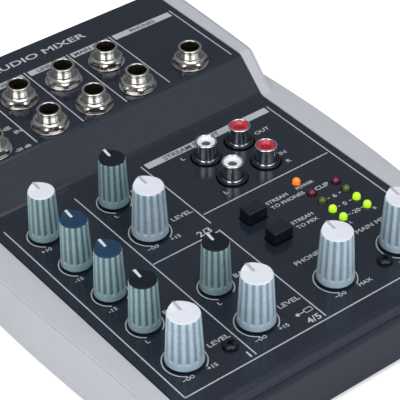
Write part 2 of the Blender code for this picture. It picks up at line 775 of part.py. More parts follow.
def push_button(name, y):
    """A rectangular push button with the stem that works its switch."""
    axis = pivot(f"slide_{name}", BUTTON_X, y, CONTROL_Z)
    half_x, half_y = BUTTON_SIZE[0] / 2, BUTTON_SIZE[1] / 2
    top = BUTTON_TOP - CONTROL_Z
    low_z = -0.0018
    stem_low = PARTS_Z + 0.0040 - CONTROL_Z
    button = piece(
        f"button_{name}",
        lambda bm: add_box(bm, (-half_x, -half_y, low_z), (half_x, half_y, top)),
        BLACK_PLASTIC,
    )
    edges = button.modifiers.new("edges", "BEVEL")
    edges.width = 0.0004
    edges.segments = 1
    reach = 0.0014

    def stem(bm):
        add_box(bm, (-reach, -reach, stem_low), (reach, reach, low_z + 0.0005))

    tool = boolean(button, "UNION", stem, f"stem_{name}")
    for obj in (button, tool):
        obj.parent = axis


def panel_screw(name, x, y):
    """A pan-head screw through the control deck."""
    head_z = CONTROL_Z + GAP

    def head(bm):
        add_rod(bm, x, y, head_z, head_z + 0.0014, 0.0027, 16, 0.0019)

    def shank(bm):
        add_rod(bm, x, y, BOARD_TOP + 0.0020, head_z + 0.0005, 0.0014, 12)

    screw = piece(f"panel_screw_{name}", head, BLACK_PLASTIC)
    join(screw, shank, f"screw_shank_{name}")
    for size in ((0.0030, 0.0006), (0.0006, 0.0030)):
        low = (x - size[0] / 2, y - size[1] / 2, head_z + 0.0006)
        high = (x + size[0] / 2, y + size[1] / 2, head_z + 0.0030)
        cut(screw, lambda bm: add_box(bm, low, high), f"screw_slot_{name}")


def main():
    top_panel()
    base_tray()
    cheek("cheek_left", -1)
    cheek("cheek_right", 1)
    feet()
    main_board()
    led_array()
    for name, (x, y) in JACKS.items():
        jack(name, x, y)
        jack_nut(name, x, y)
    xlr_socket()
    phono_block()
    phono_shells()
    usb_socket()
    power_inlet()
    for name, (x, y, large) in KNOBS.items():
        rotary_control(name, x, y, large)
    for name, y in BUTTONS.items():
        push_button(name, y)
    for name, (x, y) in SCREWS.items():
        panel_screw(name, x, y)


main()
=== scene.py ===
"""The finished surfaces of a small tabletop mixing console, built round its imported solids.

The solids come in as a fixed frame. Each operator below makes one piece, or one group of like
pieces, as surfaces worked out with numpy, and sets it where the frame says. Lengths are metres.
"""

import json
import math

import bmesh
import bpy
import numpy as np
from bpy.props import FloatProperty, FloatVectorProperty, IntProperty, PointerProperty
from mathutils import Matrix, Vector


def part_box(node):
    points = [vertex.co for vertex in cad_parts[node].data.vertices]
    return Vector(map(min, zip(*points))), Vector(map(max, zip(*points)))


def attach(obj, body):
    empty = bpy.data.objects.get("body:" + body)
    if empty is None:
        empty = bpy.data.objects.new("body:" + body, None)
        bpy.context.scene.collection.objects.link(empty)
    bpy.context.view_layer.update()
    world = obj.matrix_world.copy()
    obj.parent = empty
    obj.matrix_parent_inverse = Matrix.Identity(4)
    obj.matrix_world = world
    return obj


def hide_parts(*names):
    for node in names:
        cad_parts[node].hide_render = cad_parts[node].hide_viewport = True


bl_info = {
    "name": "Mixing Console Surfaces",
    "version": (1, 0, 0),
    "blender": (4, 5, 0),
    "location": "View3D > Sidebar > Console",
    "description": "Builds the finished surfaces of a small tabletop mixing console",
    "category": "Object",
}

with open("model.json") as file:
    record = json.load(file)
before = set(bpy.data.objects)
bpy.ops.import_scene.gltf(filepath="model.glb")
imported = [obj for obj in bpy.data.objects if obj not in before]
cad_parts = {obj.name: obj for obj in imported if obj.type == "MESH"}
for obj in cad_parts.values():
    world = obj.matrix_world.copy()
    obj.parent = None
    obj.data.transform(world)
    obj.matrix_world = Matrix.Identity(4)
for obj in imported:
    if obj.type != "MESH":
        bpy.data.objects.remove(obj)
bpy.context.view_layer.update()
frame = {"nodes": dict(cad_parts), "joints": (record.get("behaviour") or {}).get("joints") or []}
MM = 0.001
TAU = 2 * math.pi
INK_HEIGHT = 0.00004         # printing stands this proud of the paint
SIDES = 48                   # columns round a turned piece


# ---- places, all read from the frame ------------------------------------------------------
def centre_of(node):
    """The middle of a node's box, in plan."""
    low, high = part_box(node)
    return (low.x + high.x) / 2, (low.y + high.y) / 2


HINGES = [joint for joint in frame["joints"] if joint["type"] == "hinge"]
KNOB_AXES = {joint["name"].removesuffix("_turn"): joint["pos_m"] for joint in HINGES}
KNOB_BODIES = {joint["name"].removesuffix("_turn"): joint["child"] for joint in HINGES}
CONTROL_Z = HINGES[0]["pos_m"][2]
DECK_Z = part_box("top_panel")[1].z
PANEL_LOW, PANEL_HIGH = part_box("top_panel")
CHEEK_LOW, CHEEK_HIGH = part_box("cheek_right")
JACKS = sorted(node.removeprefix("jack_") for node in frame["nodes"] if node.startswith("jack_"))
LARGE_KNOBS = ("level_1", "level_23", "level_45", "phones", "main_mix")
CAPS = {
    "gain": "white",
    "eq_high": "navy",
    "eq_low": "navy",
    "pan": "black",
    "balance_23": "black",
    "balance_45": "black",
}
RISER_FOOT_Y = 0.0271
RISER_TOP_Y = 0.0404
SHEET = 0.0010
PANEL_CORNER = 0.0058        # radius of the bend along the front edge
RISER_BEND = 0.0035
NOSE_RISE = 0.85 * MM        # how far a knob's cap rises under its pointer
STRIP_X = (-59.9 * MM, -29.7 * MM, 0.0, 60.1 * MM)    # rules between the channel strips
LETTER_WEIGHT = 0.015        # how far a letter's outline is moved out, in ems
CAPITAL_EMS = 0.729          # height of the font's capitals, in ems
MERGE = 0.000001             # points nearer than this become one


# ---- sizes and colours that a user may change ---------------------------------------------
def length(name, about, value):
    """A length property with its default in metres."""
    return FloatProperty(name=name, description=about, default=value, unit="LENGTH")


def angle(name, about, degrees):
    """An angle property with its default in degrees."""
    return FloatProperty(name=name, description=about, default=math.radians(degrees), subtype="ANGLE")


def colour(name, about, value):
    """A colour property with its default."""
    return FloatVectorProperty(
        name=name, description=about, default=value, subtype="COLOR", size=3, min=0.0, max=1.0
    )


class ConsoleSizes(bpy.types.PropertyGroup):
    """Sizes of the moulded and printed details."""

    flutes: IntProperty(name="Flutes", description="Grooves round one knob", default=14, min=6, max=24)
    flute_depth: length("Flute depth", "Depth of a knob's grooves", 0.50 * MM)
    pointer_width: length("Pointer width", "Width of a knob's pointer", 1.05 * MM)
    rule_width: length("Rule width", "Width of the printed rules", 0.48 * MM)
    cheek_edge: length("Cheek edge", "Edge radius of the cheeks", 0.5 * MM)


class ConsoleColours(bpy.types.PropertyGroup):
    """Base colours of the finishes."""

    paint: colour("Paint", "Powder coat on the folded panel", (0.011, 0.0155, 0.026))
    cheek: colour("Cheek", "Side mouldings", (0.50, 0.505, 0.53))
    knob: colour("Knob", "Small fluted knobs", (0.29, 0.43, 0.46))
    level_knob: colour("Level knob", "Large fluted knobs", (0.45, 0.575, 0.66))
    cap_white: colour("White cap", "Caps of gain and level knobs", (0.74, 0.76, 0.81))
    cap_navy: colour("Navy cap", "Caps of the tone knobs", (0.014, 0.042, 0.090))
    cap_black: colour("Black cap", "Caps of the balance knobs", (0.006, 0.009, 0.014))
    ink: colour("Ink", "Printed rules and words", (0.47, 0.48, 0.50))
    red: colour("Red insert", "Insert of a right-hand phono socket", (0.54, 0.025, 0.045))
    lit: colour("Lit lamp", "Meter lamp that is lit", (0.42, 0.76, 0.02))
    amber: colour("Amber lamp", "Power lamp", (1.0, 0.17, 0.012))


class ConsoleView(bpy.types.PropertyGroup):
    """Where the camera stands."""

    azimuth: angle("Azimuth", "Turn round the console", -37.18)
    elevation: angle("Elevation", "Height over the horizon", 38.66)
    roll: angle("Roll", "Turn about the line of sight", -1.0)
    distance: length("Distance", "From the aim to the camera", 0.6419)
    lens: FloatProperty(name="Lens", description="Focal length in millimetres", default=160.9)
    aim_x: length("Aim X", "Point that the camera aims at", 0.00505)
    aim_y: length("Aim Y", "Point that the camera aims at", -0.00963)


def sizes():
    return bpy.context.scene.console_sizes


def colours():
    return bpy.context.scene.console_colours


# ---- surfaces -----------------------------------------------------------------------------
def arc(centre, radius, start, end, steps=6):
    """Points on a circle: centre + radius (cos a, sin a), with a from start to end in degrees."""
    a = np.radians(np.linspace(start, end, steps))
    return np.stack([centre[0] + radius * np.cos(a), centre[1] + radius * np.sin(a)], -1)


def fillet(corners, radii, steps=8):
    """An open 2D outline whose inner corners are replaced by tangent arcs of the given radii."""
    corners = [np.array(corner, float) for corner in corners]
    path = [corners[0][None]]
    for before, corner, after, radius in zip(corners, corners[1:], corners[2:], radii):
        back = (before - corner) / np.linalg.norm(before - corner)
        ahead = (after - corner) / np.linalg.norm(after - corner)
        half = math.acos(np.clip(back @ ahead, -1, 1)) / 2
        bisector = (back + ahead) / np.linalg.norm(back + ahead)
        centre = corner + bisector * radius / math.sin(half)
        start = corner + back * radius / math.tan(half) - centre
        end = corner + ahead * radius / math.tan(half) - centre
        swing = math.pi - 2 * half
        t = np.linspace(0, 1, steps)[:, None]
        path.append(centre + (np.sin((1 - t) * swing) * start + np.sin(t * swing) * end) / math.sin(swing))
    path.append(corners[-1][None])
    return np.concatenate(path)


def smoothstep(low, high, value):
    """0 below low, 1 above high, and 3t^2 - 2t^3 between."""
    t = np.clip((value - low) / (high - low), 0, 1)
    return t * t * (3 - 2 * t)


def turned(profile, centre=(0.0, 0.0), sides=SIDES):
    """A grid for a (radius, z) profile turned about an upright axis: row i is a circle of radius i."""
    profile = np.asarray(profile, float)
    a = np.arange(sides) * TAU / sides
    radius, z = profile[:, 0, None], profile[:, 1, None]
    x = centre[0] + radius * np.cos(a)
    y = centre[1] + radius * np.sin(a)
    return np.stack([x, y, np.broadcast_to(z, x.shape)], -1)


def rounded_rectangle(half_x, half_y, radius, steps=5):
    """A closed outline: four quarter circles about the corners of a smaller rectangle."""
    a = np.radians(np.linspace(0, 90, steps))
    quarter = np.stack([np.cos(a), np.sin(a)], -1) * radius
    outline = []
    for turn, (sx, sy) in enumerate(((1, 1), (-1, 1), (-1, -1), (1, -1))):
        c, s = math.cos(turn * math.pi / 2), math.sin(turn * math.pi / 2)
        turned_quarter = quarter @ np.array([[c, s], [-s, c]])
        outline.append(turned_quarter + (sx * (half_x - radius), sy * (half_y - radius)))
    return np.concatenate(outline)


def circle_like(radius, steps=5):
    """A circle with its points in the order that rounded_rectangle gives its own."""
    a = np.concatenate([np.radians(np.linspace(0, 90, steps)) + k * math.pi / 2 for k in range(4)])
    return np.stack([np.cos(a), np.sin(a)], -1) * radius


def block(low, high, radius, steps=5):
    """A box with every edge rounded: rounded rectangles stacked along Z, drawn in by a quarter
    circle of the same radius at the bottom and top."""
    low, high = np.array(low, float), np.array(high, float)
    half = (high - low) / 2
    middle = (high + low) / 2
    ends = arc((0, 0), radius, -90, 0, steps)
    insets = np.concatenate([radius - ends[:, 0], radius - ends[::-1, 0]])
    levels = np.concatenate([low[2] + radius + ends[:, 1], high[2] - radius - ends[::-1, 1]])
    rows = []
    for inset, level in zip(insets, levels):
        corner = max(radius - inset * 0.6, radius * 0.2)
        plan = rounded_rectangle(half[0] - inset, half[1] - inset, corner, steps) + middle[:2]
        rows.append(np.column_stack([plan, np.full(len(plan), level)]))
    return np.stack(rows)


def ribbon(path, width, z, height=INK_HEIGHT, closed=False):
    """A flat band along a 2D path: the path shifted half the width each way along its normal,
    at two heights. A closed path is one without its end point repeated."""
    path = np.asarray(path, float)
    if closed:
        along = np.roll(path, -1, axis=0) - np.roll(path, 1, axis=0)
    else:
        along = np.gradient(path, axis=0)
    along /= np.linalg.norm(along, axis=1, keepdims=True)
    side = np.stack([-along[:, 1], along[:, 0]], -1) * width / 2
    corners = []
    for shift, level in ((side, z), (-side, z), (-side, z + height), (side, z + height)):
        corners.append(np.column_stack([path + shift, np.full(len(path), level)]))
    return np.stack(corners, 1)


class Shape:
    """Surfaces gathered into one mesh, each with its own material index."""

    def __init__(self):
        self.points = []
        self.faces = []
        self.finishes = []
        self.recesses = []
        self.count = 0

    def mesh(self, points, faces, finish=0, recess=None):
        """Adds points and the faces that index them. The last argument, a groove mask, says how deep each
        point lies in a groove, from 0 to 1, for finishes that paint shade there."""
        self.points.append(np.asarray(points, float).reshape(-1, 3))
        count = len(self.points[-1])
        self.recesses.append(np.zeros(count) if recess is None else np.asarray(recess).ravel())
        self.faces += [[corner + self.count for corner in face] for face in faces]
        self.finishes += [finish] * len(faces)
        self.count += len(self.points[-1])
        return self

    def grid(self, points, finish=0, wrap=(False, True), caps=(True, True), recess=None):
        """Adds a grid [row, column, xyz]. wrap joins the last row or column to the first, and
        caps closes the first and last row with a flat face."""
        rows, columns = points.shape[:2]
        i = np.arange(rows - (not wrap[0]))[:, None]
        j = np.arange(columns - (not wrap[1]))[None, :]
        next_i, next_j = (i + 1) % rows, (j + 1) % columns
        corners = (i * columns + j, i * columns + next_j, next_i * columns + next_j, next_i * columns + j)
        faces = np.stack(corners, -1).reshape(-1, 4).tolist()
        for use, row in zip(caps, (0, rows - 1)):
            if use and not wrap[0]:
                faces.append((row * columns + np.arange(columns)).tolist())
        return self.mesh(points, faces, finish, recess)

    def data(self, name):
        """The mesh with its doubles merged and its faces pointing out."""
        mesh = bpy.data.meshes.new(name)
        mesh.from_pydata(np.concatenate(self.points).tolist(), [], self.faces)
        mesh.polygons.foreach_set("material_index", self.finishes)
        # Each point's groove mask is kept as an attribute, for finishes that paint shade in grooves.
        recess = np.concatenate(self.recesses)
        if recess.any():
            layer = mesh.attributes.new("recess", "FLOAT", "POINT")
            layer.data.foreach_set("value", recess)
        bm = bmesh.new()
        bm.from_mesh(mesh)
        bmesh.ops.remove_doubles(bm, verts=bm.verts, dist=MERGE)
        bmesh.ops.dissolve_degenerate(bm, dist=MERGE / 2, edges=bm.edges)
        bmesh.ops.recalc_face_normals(bm, faces=bm.faces)
        bm.to_mesh(mesh)
        bm.free()
        return mesh

    def piece(self, name, finishes, body="chassis", slot=None, stands_for=(), sharp=38):
        """A finished piece that rides on a body and may stand for nodes of the frame."""
        obj = bpy.data.objects.new(name, self.data(name))
        bpy.context.scene.collection.objects.link(obj)
        for made in finishes:
            obj.data.materials.append(made)
        shade(obj, sharp)
        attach(obj, body)
        if stands_for:
            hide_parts(*stands_for)
        return obj


def shade(obj, sharp):
    """Smooth shading, with edges sharper than the angle in degrees left crisp."""
    obj.data.shade_smooth()
    obj.data.set_sharp_from_angle(angle=math.radians(sharp))


def settle(obj):
    """Replaces an object's mesh by what its modifiers make of it."""
    view = bpy.context.evaluated_depsgraph_get()
    made = bpy.data.meshes.new_from_object(obj.evaluated_get(view))
    obj.modifiers.clear()
    old = obj.data
    obj.data = made
    made.name = obj.name
    bpy.data.meshes.remove(old)


def carve(obj, cutter):
    """Cuts a Shape out of a piece and leaves the result as plain mesh."""
    tool = bpy.data.objects.new("cutter", cutter.data("cutter"))
    bpy.context.scene.collection.objects.link(tool)
    cut = obj.modifiers.new("cut", "BOOLEAN")
    cut.operation = "DIFFERENCE"
    cut.solver = "EXACT"
    cut.object = tool
    settle(obj)
    mesh = tool.data
    bpy.data.objects.remove(tool)
    bpy.data.meshes.remove(mesh)


# ---- finishes -----------------------------------------------------------------------------
def principled(name, base, roughness, metallic=0.0, mottle=None, wear=None, grain=None, **sockets):
    """A Principled material. mottle (scale, share) varies the colour, wear (scale, amount) the
    roughness, and grain (scale, depth) raises a fine bump; each reads Object coordinates."""
    made = bpy.data.materials.new(name)
    made.use_nodes = True
    nodes, links = made.node_tree.nodes, made.node_tree.links
    shader = nodes["Principled BSDF"]
    shader.inputs["Base Color"].default_value = (*base, 1.0)
    shader.inputs["Roughness"].default_value = roughness
    shader.inputs["Metallic"].default_value = metallic
    for socket, value in sockets.items():
        shader.inputs[socket.replace("_", " ")].default_value = value
    place = nodes.new("ShaderNodeTexCoord").outputs["Object"]

    def noise(scale, detail):
        texture = nodes.new("ShaderNodeTexNoise")
        texture.inputs["Scale"].default_value = scale
        texture.inputs["Detail"].default_value = detail
        links.new(place, texture.inputs["Vector"])
        return texture.outputs["Fac"]

    if mottle:
        ramp = nodes.new("ShaderNodeValToRGB")
        dark = [channel * (1 - mottle[1]) for channel in base]
        light = [min(channel * (1 + mottle[1]), 1.0) for channel in base]
        ramp.color_ramp.elements[0].position = 0.3
        ramp.color_ramp.elements[0].color = (*dark, 1.0)
        ramp.color_ramp.elements[1].position = 0.7
        ramp.color_ramp.elements[1].color = (*light, 1.0)
        links.new(noise(mottle[0], 4.0), ramp.inputs["Fac"])
        links.new(ramp.outputs["Color"], shader.inputs["Base Color"])
    if wear:
        spread = nodes.new("ShaderNodeMapRange")
        spread.inputs["From Min"].default_value = 0.3
        spread.inputs["From Max"].default_value = 0.7
        spread.inputs["To Min"].default_value = roughness - wear[1]
        spread.inputs["To Max"].default_value = roughness + wear[1]
        links.new(noise(wear[0], 3.0), spread.inputs["Value"])
        links.new(spread.outputs["Result"], shader.inputs["Roughness"])
    if grain:
        bump = nodes.new("ShaderNodeBump")
        bump.inputs["Strength"].default_value = 1.0
        bump.inputs["Distance"].default_value = grain[1]
        links.new(noise(grain[0], 2.0), bump.inputs["Height"])
        links.new(bump.outputs["Normal"], shader.inputs["Normal"])
    return made


def paint_groove_shade(made, amount):
    """Paints shade into grooves: multiplies a finish's base colour down there, by the piece's per-point
    groove mask attribute.
    """
    nodes, links = made.node_tree.nodes, made.node_tree.links
    base = nodes["Principled BSDF"].inputs["Base Color"]
    recess = nodes.new("ShaderNodeAttribute")
    recess.attribute_name = "recess"
    dim = nodes.new("ShaderNodeMapRange")
    dim.inputs["To Min"].default_value = 1.0
    dim.inputs["To Max"].default_value = 1.0 - amount
    links.new(recess.outputs["Fac"], dim.inputs["Value"])
    shade_by = nodes.new("ShaderNodeVectorMath")
    shade_by.operation = "SCALE"
    links.new(base.links[0].from_socket, shade_by.inputs[0])
    links.new(dim.outputs["Result"], shade_by.inputs["Scale"])
    links.new(shade_by.outputs["Vector"], base)


# Each finish: its base colour, or the name of one that a user may change, its roughness, and what else
# principled takes. The groove entry says how much painted shade darkens a knob's grooves.
KNOB = {
    "mottle": (300, 0.06), "wear": (700, 0.05), "grain": (1800, 0.000004), "Coat_Weight": 0.15,
    "Subsurface_Weight": 0.35, "Subsurface_Radius": (1.0, 1.0, 0.9), "Subsurface_Scale": 0.0007,
}
POINTER = {"mottle": (500, 0.04), "wear": (900, 0.05), "grain": (2500, 0.000003)}
CAP = {"mottle": (400, 0.03), "wear": (900, 0.05), "grain": (2500, 0.000004)}
DULL_CAP = {**CAP, "Specular_IOR_Level": 0.24}
INSERT = {"mottle": (600, 0.04), "wear": (900, 0.05), "grain": (1800, 0.000004), "Coat_Weight": 0.3}
LENS = {"mottle": (900, 0.12), "wear": (900, 0.03), "grain": (1200, 0.000003), "Coat_Weight": 0.6}
FINISHES = {
    "panel_paint": (
        "paint", 0.20,
        {"mottle": (1400, 0.22), "wear": (260, 0.04), "grain": (2600, 0.000003), "Specular_IOR_Level": 0.5},
    ),
    "cheek_plastic": ("cheek", 0.42, {"mottle": (90, 0.02), "wear": (400, 0.05), "grain": (4200, 0.000010)}),
    # The two knob finishes paint shade into their flute grooves, darker by the given share.
    "knob_plastic": ("knob", 0.30, {**KNOB, "recess": 0.54}),
    "level_knob_plastic": ("level_knob", 0.30, {**KNOB, "recess": 0.40}),
    # The first pointer finish is the white pointer made grey: painted shade for the pointers on white caps.
    "pointer_grey": ((0.42, 0.43, 0.46), 0.34, POINTER),
    "pointer_white": ((0.62, 0.64, 0.67), 0.34, POINTER),
    "cap_white": ("cap_white", 0.36, {**CAP, "Specular_IOR_Level": 0.5}),
    "cap_navy": ("cap_navy", 0.36, DULL_CAP),
    "cap_black": ("cap_black", 0.36, DULL_CAP),
    "nickel": (
        (0.59, 0.565, 0.52), 0.16,
        {"metallic": 1.0, "mottle": (500, 0.05), "wear": (1500, 0.05), "grain": (900, 0.000003)},
    ),
    "bright_chrome": (
        (0.64, 0.65, 0.68), 0.08,
        {"metallic": 1.0, "mottle": (500, 0.05), "wear": (1500, 0.03), "grain": (900, 0.000002)},
    ),
    "bore_dark": ((0.075, 0.068, 0.06), 0.45, {"metallic": 0.5, "mottle": (700, 0.3), "wear": (900, 0.1)}),
    "black_moulding": (
        (0.008, 0.009, 0.011), 0.20,
        {"mottle": (500, 0.2), "wear": (800, 0.05), "grain": (1500, 0.000003)},
    ),
    "button_plastic": (
        (0.004, 0.006, 0.011), 0.34,
        {"mottle": (500, 0.15), "wear": (800, 0.06), "grain": (3500, 0.000005)},
    ),
    "insert_red": ("red", 0.28, INSERT),
    "insert_white": ((0.84, 0.85, 0.86), 0.28, INSERT),
    # The white inserts' wells are painted dark grey: painted shade in the hole.
    "insert_shade": ((0.20, 0.20, 0.21), 0.40, {"mottle": (600, 0.08), "wear": (900, 0.06)}),
    "lamp_lit": ("lit", 0.12, {**LENS, "Emission_Strength": 0.65}),
    "lamp_amber": ("amber", 0.12, {**LENS, "Emission_Strength": 0.80}),
    "lamp_olive": ((0.10, 0.115, 0.018), 0.12, {**LENS, "Emission_Strength": 0.0}),
    "lamp_clip": ((0.13, 0.006, 0.022), 0.12, {**LENS, "Emission_Strength": 0.0}),
    "legend_ink": ("ink", 0.45, {"mottle": (1500, 0.10), "wear": (900, 0.06)}),
    "legend_dark": ((0.035, 0.037, 0.044), 0.40, {"mottle": (1500, 0.15), "wear": (900, 0.06)}),
    "black_steel": (
        (0.009, 0.011, 0.017), 0.22,
        {"metallic": 0.35, "mottle": (800, 0.2), "wear": (1000, 0.08), "grain": (1600, 0.000005)},
    ),
    "tray_coat": (
        (0.022, 0.022, 0.025), 0.5,
        {"mottle": (500, 0.2), "wear": (300, 0.08), "grain": (2600, 0.00002)},
    ),
    "soft_rubber": ((0.018, 0.018, 0.018), 0.85, {"mottle": (600, 0.25), "grain": (2500, 0.00002)}),
    "board_laminate": ((0.015, 0.11, 0.045), 0.35, {"mottle": (260, 0.25), "wear": (200, 0.08)}),
    "plated_steel": (
        (0.58, 0.58, 0.57), 0.30,
        {"metallic": 1.0, "mottle": (700, 0.06), "wear": (1400, 0.08), "grain": (1600, 0.000005)},
    ),
    "contact_gold": ((0.83, 0.60, 0.25), 0.25, {"metallic": 1.0, "mottle": (900, 0.08), "wear": (900, 0.06)}),
}
finishes_made = {}


def finish(name):
    """A finish from the table, made at its first use and handed out again after that. A lamp's
    light has the colour of its lens."""
    if name not in finishes_made:
        base, roughness, more = FINISHES[name]
        base = getattr(colours(), base) if isinstance(base, str) else base
        more = dict(more)
        recess = more.pop("recess", None)
        if "Emission_Strength" in more:
            more["Emission_Color"] = (*base, 1.0)
        finishes_made[name] = principled(name, base, roughness, **more)
        if recess:
            paint_groove_shade(finishes_made[name], recess)
    return finishes_made[name]


# ---- casing -------------------------------------------------------------------------------
def panel_path():
    """The fold of the panel in (y, z): five straight runs joined by tangent arcs."""
    front, lean = -PANEL_HIGH.y, 0.0035
    corners = [
        (front + lean, PANEL_LOW.z),
        (front, CONTROL_Z),
        (RISER_FOOT_Y, CONTROL_Z),
        (RISER_TOP_Y, DECK_Z),
        (PANEL_HIGH.y, DECK_Z),
        (PANEL_HIGH.y, PANEL_LOW.z),
    ]
    return fillet(corners, (PANEL_CORNER, RISER_BEND, RISER_BEND, 2.0 * MM), 12)


def hole(centre, radius, z, sides=24):
    """A cutter through the sheet whose top is at z."""
    return turned([(radius, z - 3 * MM), (radius, z + 2 * MM)], centre, sides)


def panel_cutters():
    """Holes for shafts, jacks, sockets, lamps, keys and screws, and the two rear windows."""
    cutters = Shape()
    for x, y, _ in KNOB_AXES.values():
        cutters.grid(hole((x, y), 3.7 * MM, CONTROL_Z))
    for name in JACKS:
        cutters.grid(hole(centre_of(f"jack_{name}"), 4.75 * MM, DECK_Z))
    cutters.grid(hole(centre_of("xlr_socket"), 12.2 * MM, DECK_Z, SIDES))
    for x, y in phono_places().values():
        cutters.grid(hole((x, y), 5.9 * MM, CONTROL_Z))
    for x, y, _ in lamp_places():
        cutters.grid(hole((x, y), 1.75 * MM, CONTROL_Z))
    for side in ("left", "right"):
        cutters.grid(hole(centre_of(f"panel_screw_{side}"), 1.8 * MM, CONTROL_Z))
    for node in ("button_stream_phones", "button_stream_mix"):
        low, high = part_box(node)
        margin = 0.25 * MM
        near = (low.x - margin, low.y - margin, CONTROL_Z - 3 * MM)
        far = (high.x + margin, high.y + margin, CONTROL_Z + 3 * MM)
        cutters.grid(block(near, far, 0.5 * MM))
    for node in ("usb_socket", "power_inlet"):
        low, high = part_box(node)
        margin = 0.4 * MM
        near = (low.x - margin, PANEL_HIGH.y - 4 * MM, low.z - margin)
        far = (high.x + margin, PANEL_HIGH.y + 3 * MM, high.z + margin)
        cutters.grid(block(near, far, 0.6 * MM))
    return cutters


class CONSOLE_OT_panel(bpy.types.Operator):
    """Make the folded steel panel with its holes and softened edges"""

    bl_idname = "console.panel"
    bl_label = "Panel"

    def execute(self, context):
        path = panel_path()
        rows = np.stack([np.column_stack([np.full(len(path), x), path]) for x in (PANEL_LOW.x, PANEL_HIGH.x)])
        sheet = Shape().grid(rows, wrap=(False, False), caps=(False, False))
        panel = sheet.piece(
            "panel_shell", [finish("panel_paint")], slot="panel_black", stands_for=["top_panel"], sharp=25
        )
        top = max(panel.data.polygons, key=lambda face: face.area)
        wall = panel.modifiers.new("wall", "SOLIDIFY")
        wall.thickness = SHEET
        wall.offset = -1.0 if top.normal.z > 0 else 1.0
        wall.use_even_offset = True
        settle(panel)
        carve(panel, panel_cutters())
        edge = panel.modifiers.new("edge", "BEVEL")
        edge.width = 0.28 * MM
        edge.segments = 2
        edge.limit_method = "ANGLE"
        edge.angle_limit = math.radians(60)
        edge.use_clamp_overlap = True
        settle(panel)
        shade(panel, 50)
        even = panel.modifiers.new("even", "WEIGHTED_NORMAL")
        even.mode = "FACE_AREA"
        even.weight = 100
        even.keep_sharp = True
        settle(panel)
        return {"FINISHED"}


def swell(y):
    """The cheek's outer edge in plan: straight, with a raised-cosine swell in the middle."""
    end, widest, middle, reach = 0.0714, CHEEK_HIGH.x, 0.0025, 0.0850
    swing = np.minimum(np.abs(y - middle) / reach, 1.0) * math.pi
    return end + (widest - end) * (1 + np.cos(swing)) / 2


def upper_edge(y):
    """The raised part's outer edge in plan, which draws in by a square root towards the riser."""
    share = np.clip((y - RISER_FOOT_Y) / (0.6 * CHEEK_HIGH.y), 0.0, 1.0)
    return 0.0682 + 0.0026 * np.sqrt(share)


def cheek_grid(side):
    """Sections across the cheek at many y, each from the inner foot round the outer wall, the
    ledge and the raised part to the inner top. Every corner is an arc, both ends draw in by a
    quarter circle, and a fine groove runs under the outer edge."""
    edge = sizes().cheek_edge
    end_round = 1.0 * MM
    reach = CHEEK_HIGH.y
    run = np.concatenate([
        np.linspace(-reach + end_round, RISER_FOOT_Y - 4 * MM, 26),
        np.linspace(RISER_FOOT_Y - 3 * MM, RISER_TOP_Y + 5 * MM, 40),
        np.linspace(RISER_TOP_Y + 6 * MM, reach - end_round, 18),
    ])
    turn = np.linspace(0, math.pi / 2, 7)
    front = -reach + end_round - end_round * np.sin(turn[:0:-1])
    rear = reach - end_round + end_round * np.sin(turn[1:])
    y = np.concatenate([front, run, rear])
    draw_in = end_round * (1 - np.cos(turn))
    inset = np.concatenate([draw_in[:0:-1], np.zeros(len(run)), draw_in[1:]])

    inner = CHEEK_LOW.x + 0 * y
    foot = CHEEK_LOW.z + inset
    outer = swell(y) - inset
    draft = 0.8 * MM
    ledge = CONTROL_Z - inset
    step = DECK_Z - CONTROL_Z
    corners = [(-reach - MM, 0.0), (RISER_FOOT_Y, 0.0), (RISER_TOP_Y, step), (reach + MM, step)]
    line = fillet(corners, (0.9 * MM, 3.6 * MM), 16)
    rise = np.interp(y, line[:, 0], line[:, 1])
    upper = upper_edge(y) - inset
    small = np.clip(rise / 2.5, 0, edge)
    top = ledge + rise

    def corner(x, z, radius, start, end, steps=6):
        a = np.radians(np.linspace(start, end, steps))
        return [(x + radius * np.cos(t), z + radius * np.sin(t)) for t in a]

    foot_round = 1.6 * MM
    groove_depth, groove_low, groove_high = 0.32 * MM, 0.95 * MM, 0.66 * MM
    lip = 0.45 * MM
    columns = [(inner, foot)]
    columns += corner(outer - draft - foot_round, foot + foot_round, foot_round, -90, 0)
    columns += [
        (outer, ledge - groove_low - 0.3 * MM),
        (outer, ledge - groove_low),
        (outer - groove_depth, ledge - groove_low + 0.05 * MM),
        (outer - groove_depth, ledge - groove_high - 0.02 * MM),
        (outer, ledge - groove_high),
    ]
    columns += corner(outer - edge, ledge - edge, edge, 0, 90)
    columns += corner(upper + small, ledge + small, small, 270, 180)
    columns += corner(upper - small, top - small, small, 0, 90)
    seam = 0.30 * np.clip(rise / 2.5, 0, MM)
    columns += [
        (upper - 0.95 * MM, top),
        (upper - 1.00 * MM, top - seam),
        (upper - 1.22 * MM, top - seam),
        (upper - 1.27 * MM, top),
    ]
    columns += corner(inner + lip, top - lip, lip, 90, 180)
    return np.stack([np.stack([side * (x + 0 * y), y, z + 0 * y], -1) for x, z in columns], 1)


class CONSOLE_OT_cheeks(bpy.types.Operator):
    """Make the two grey side mouldings"""

    bl_idname = "console.cheeks"
    bl_label = "Cheeks"

    def execute(self, context):
        for name, side in (("left", -1), ("right", 1)):
            Shape().grid(cheek_grid(side)).piece(
                f"side_moulding_{name}", [finish("cheek_plastic")], slot="cheek_grey",
                stands_for=[f"cheek_{name}"], sharp=30,
            )
        return {"FINISHED"}


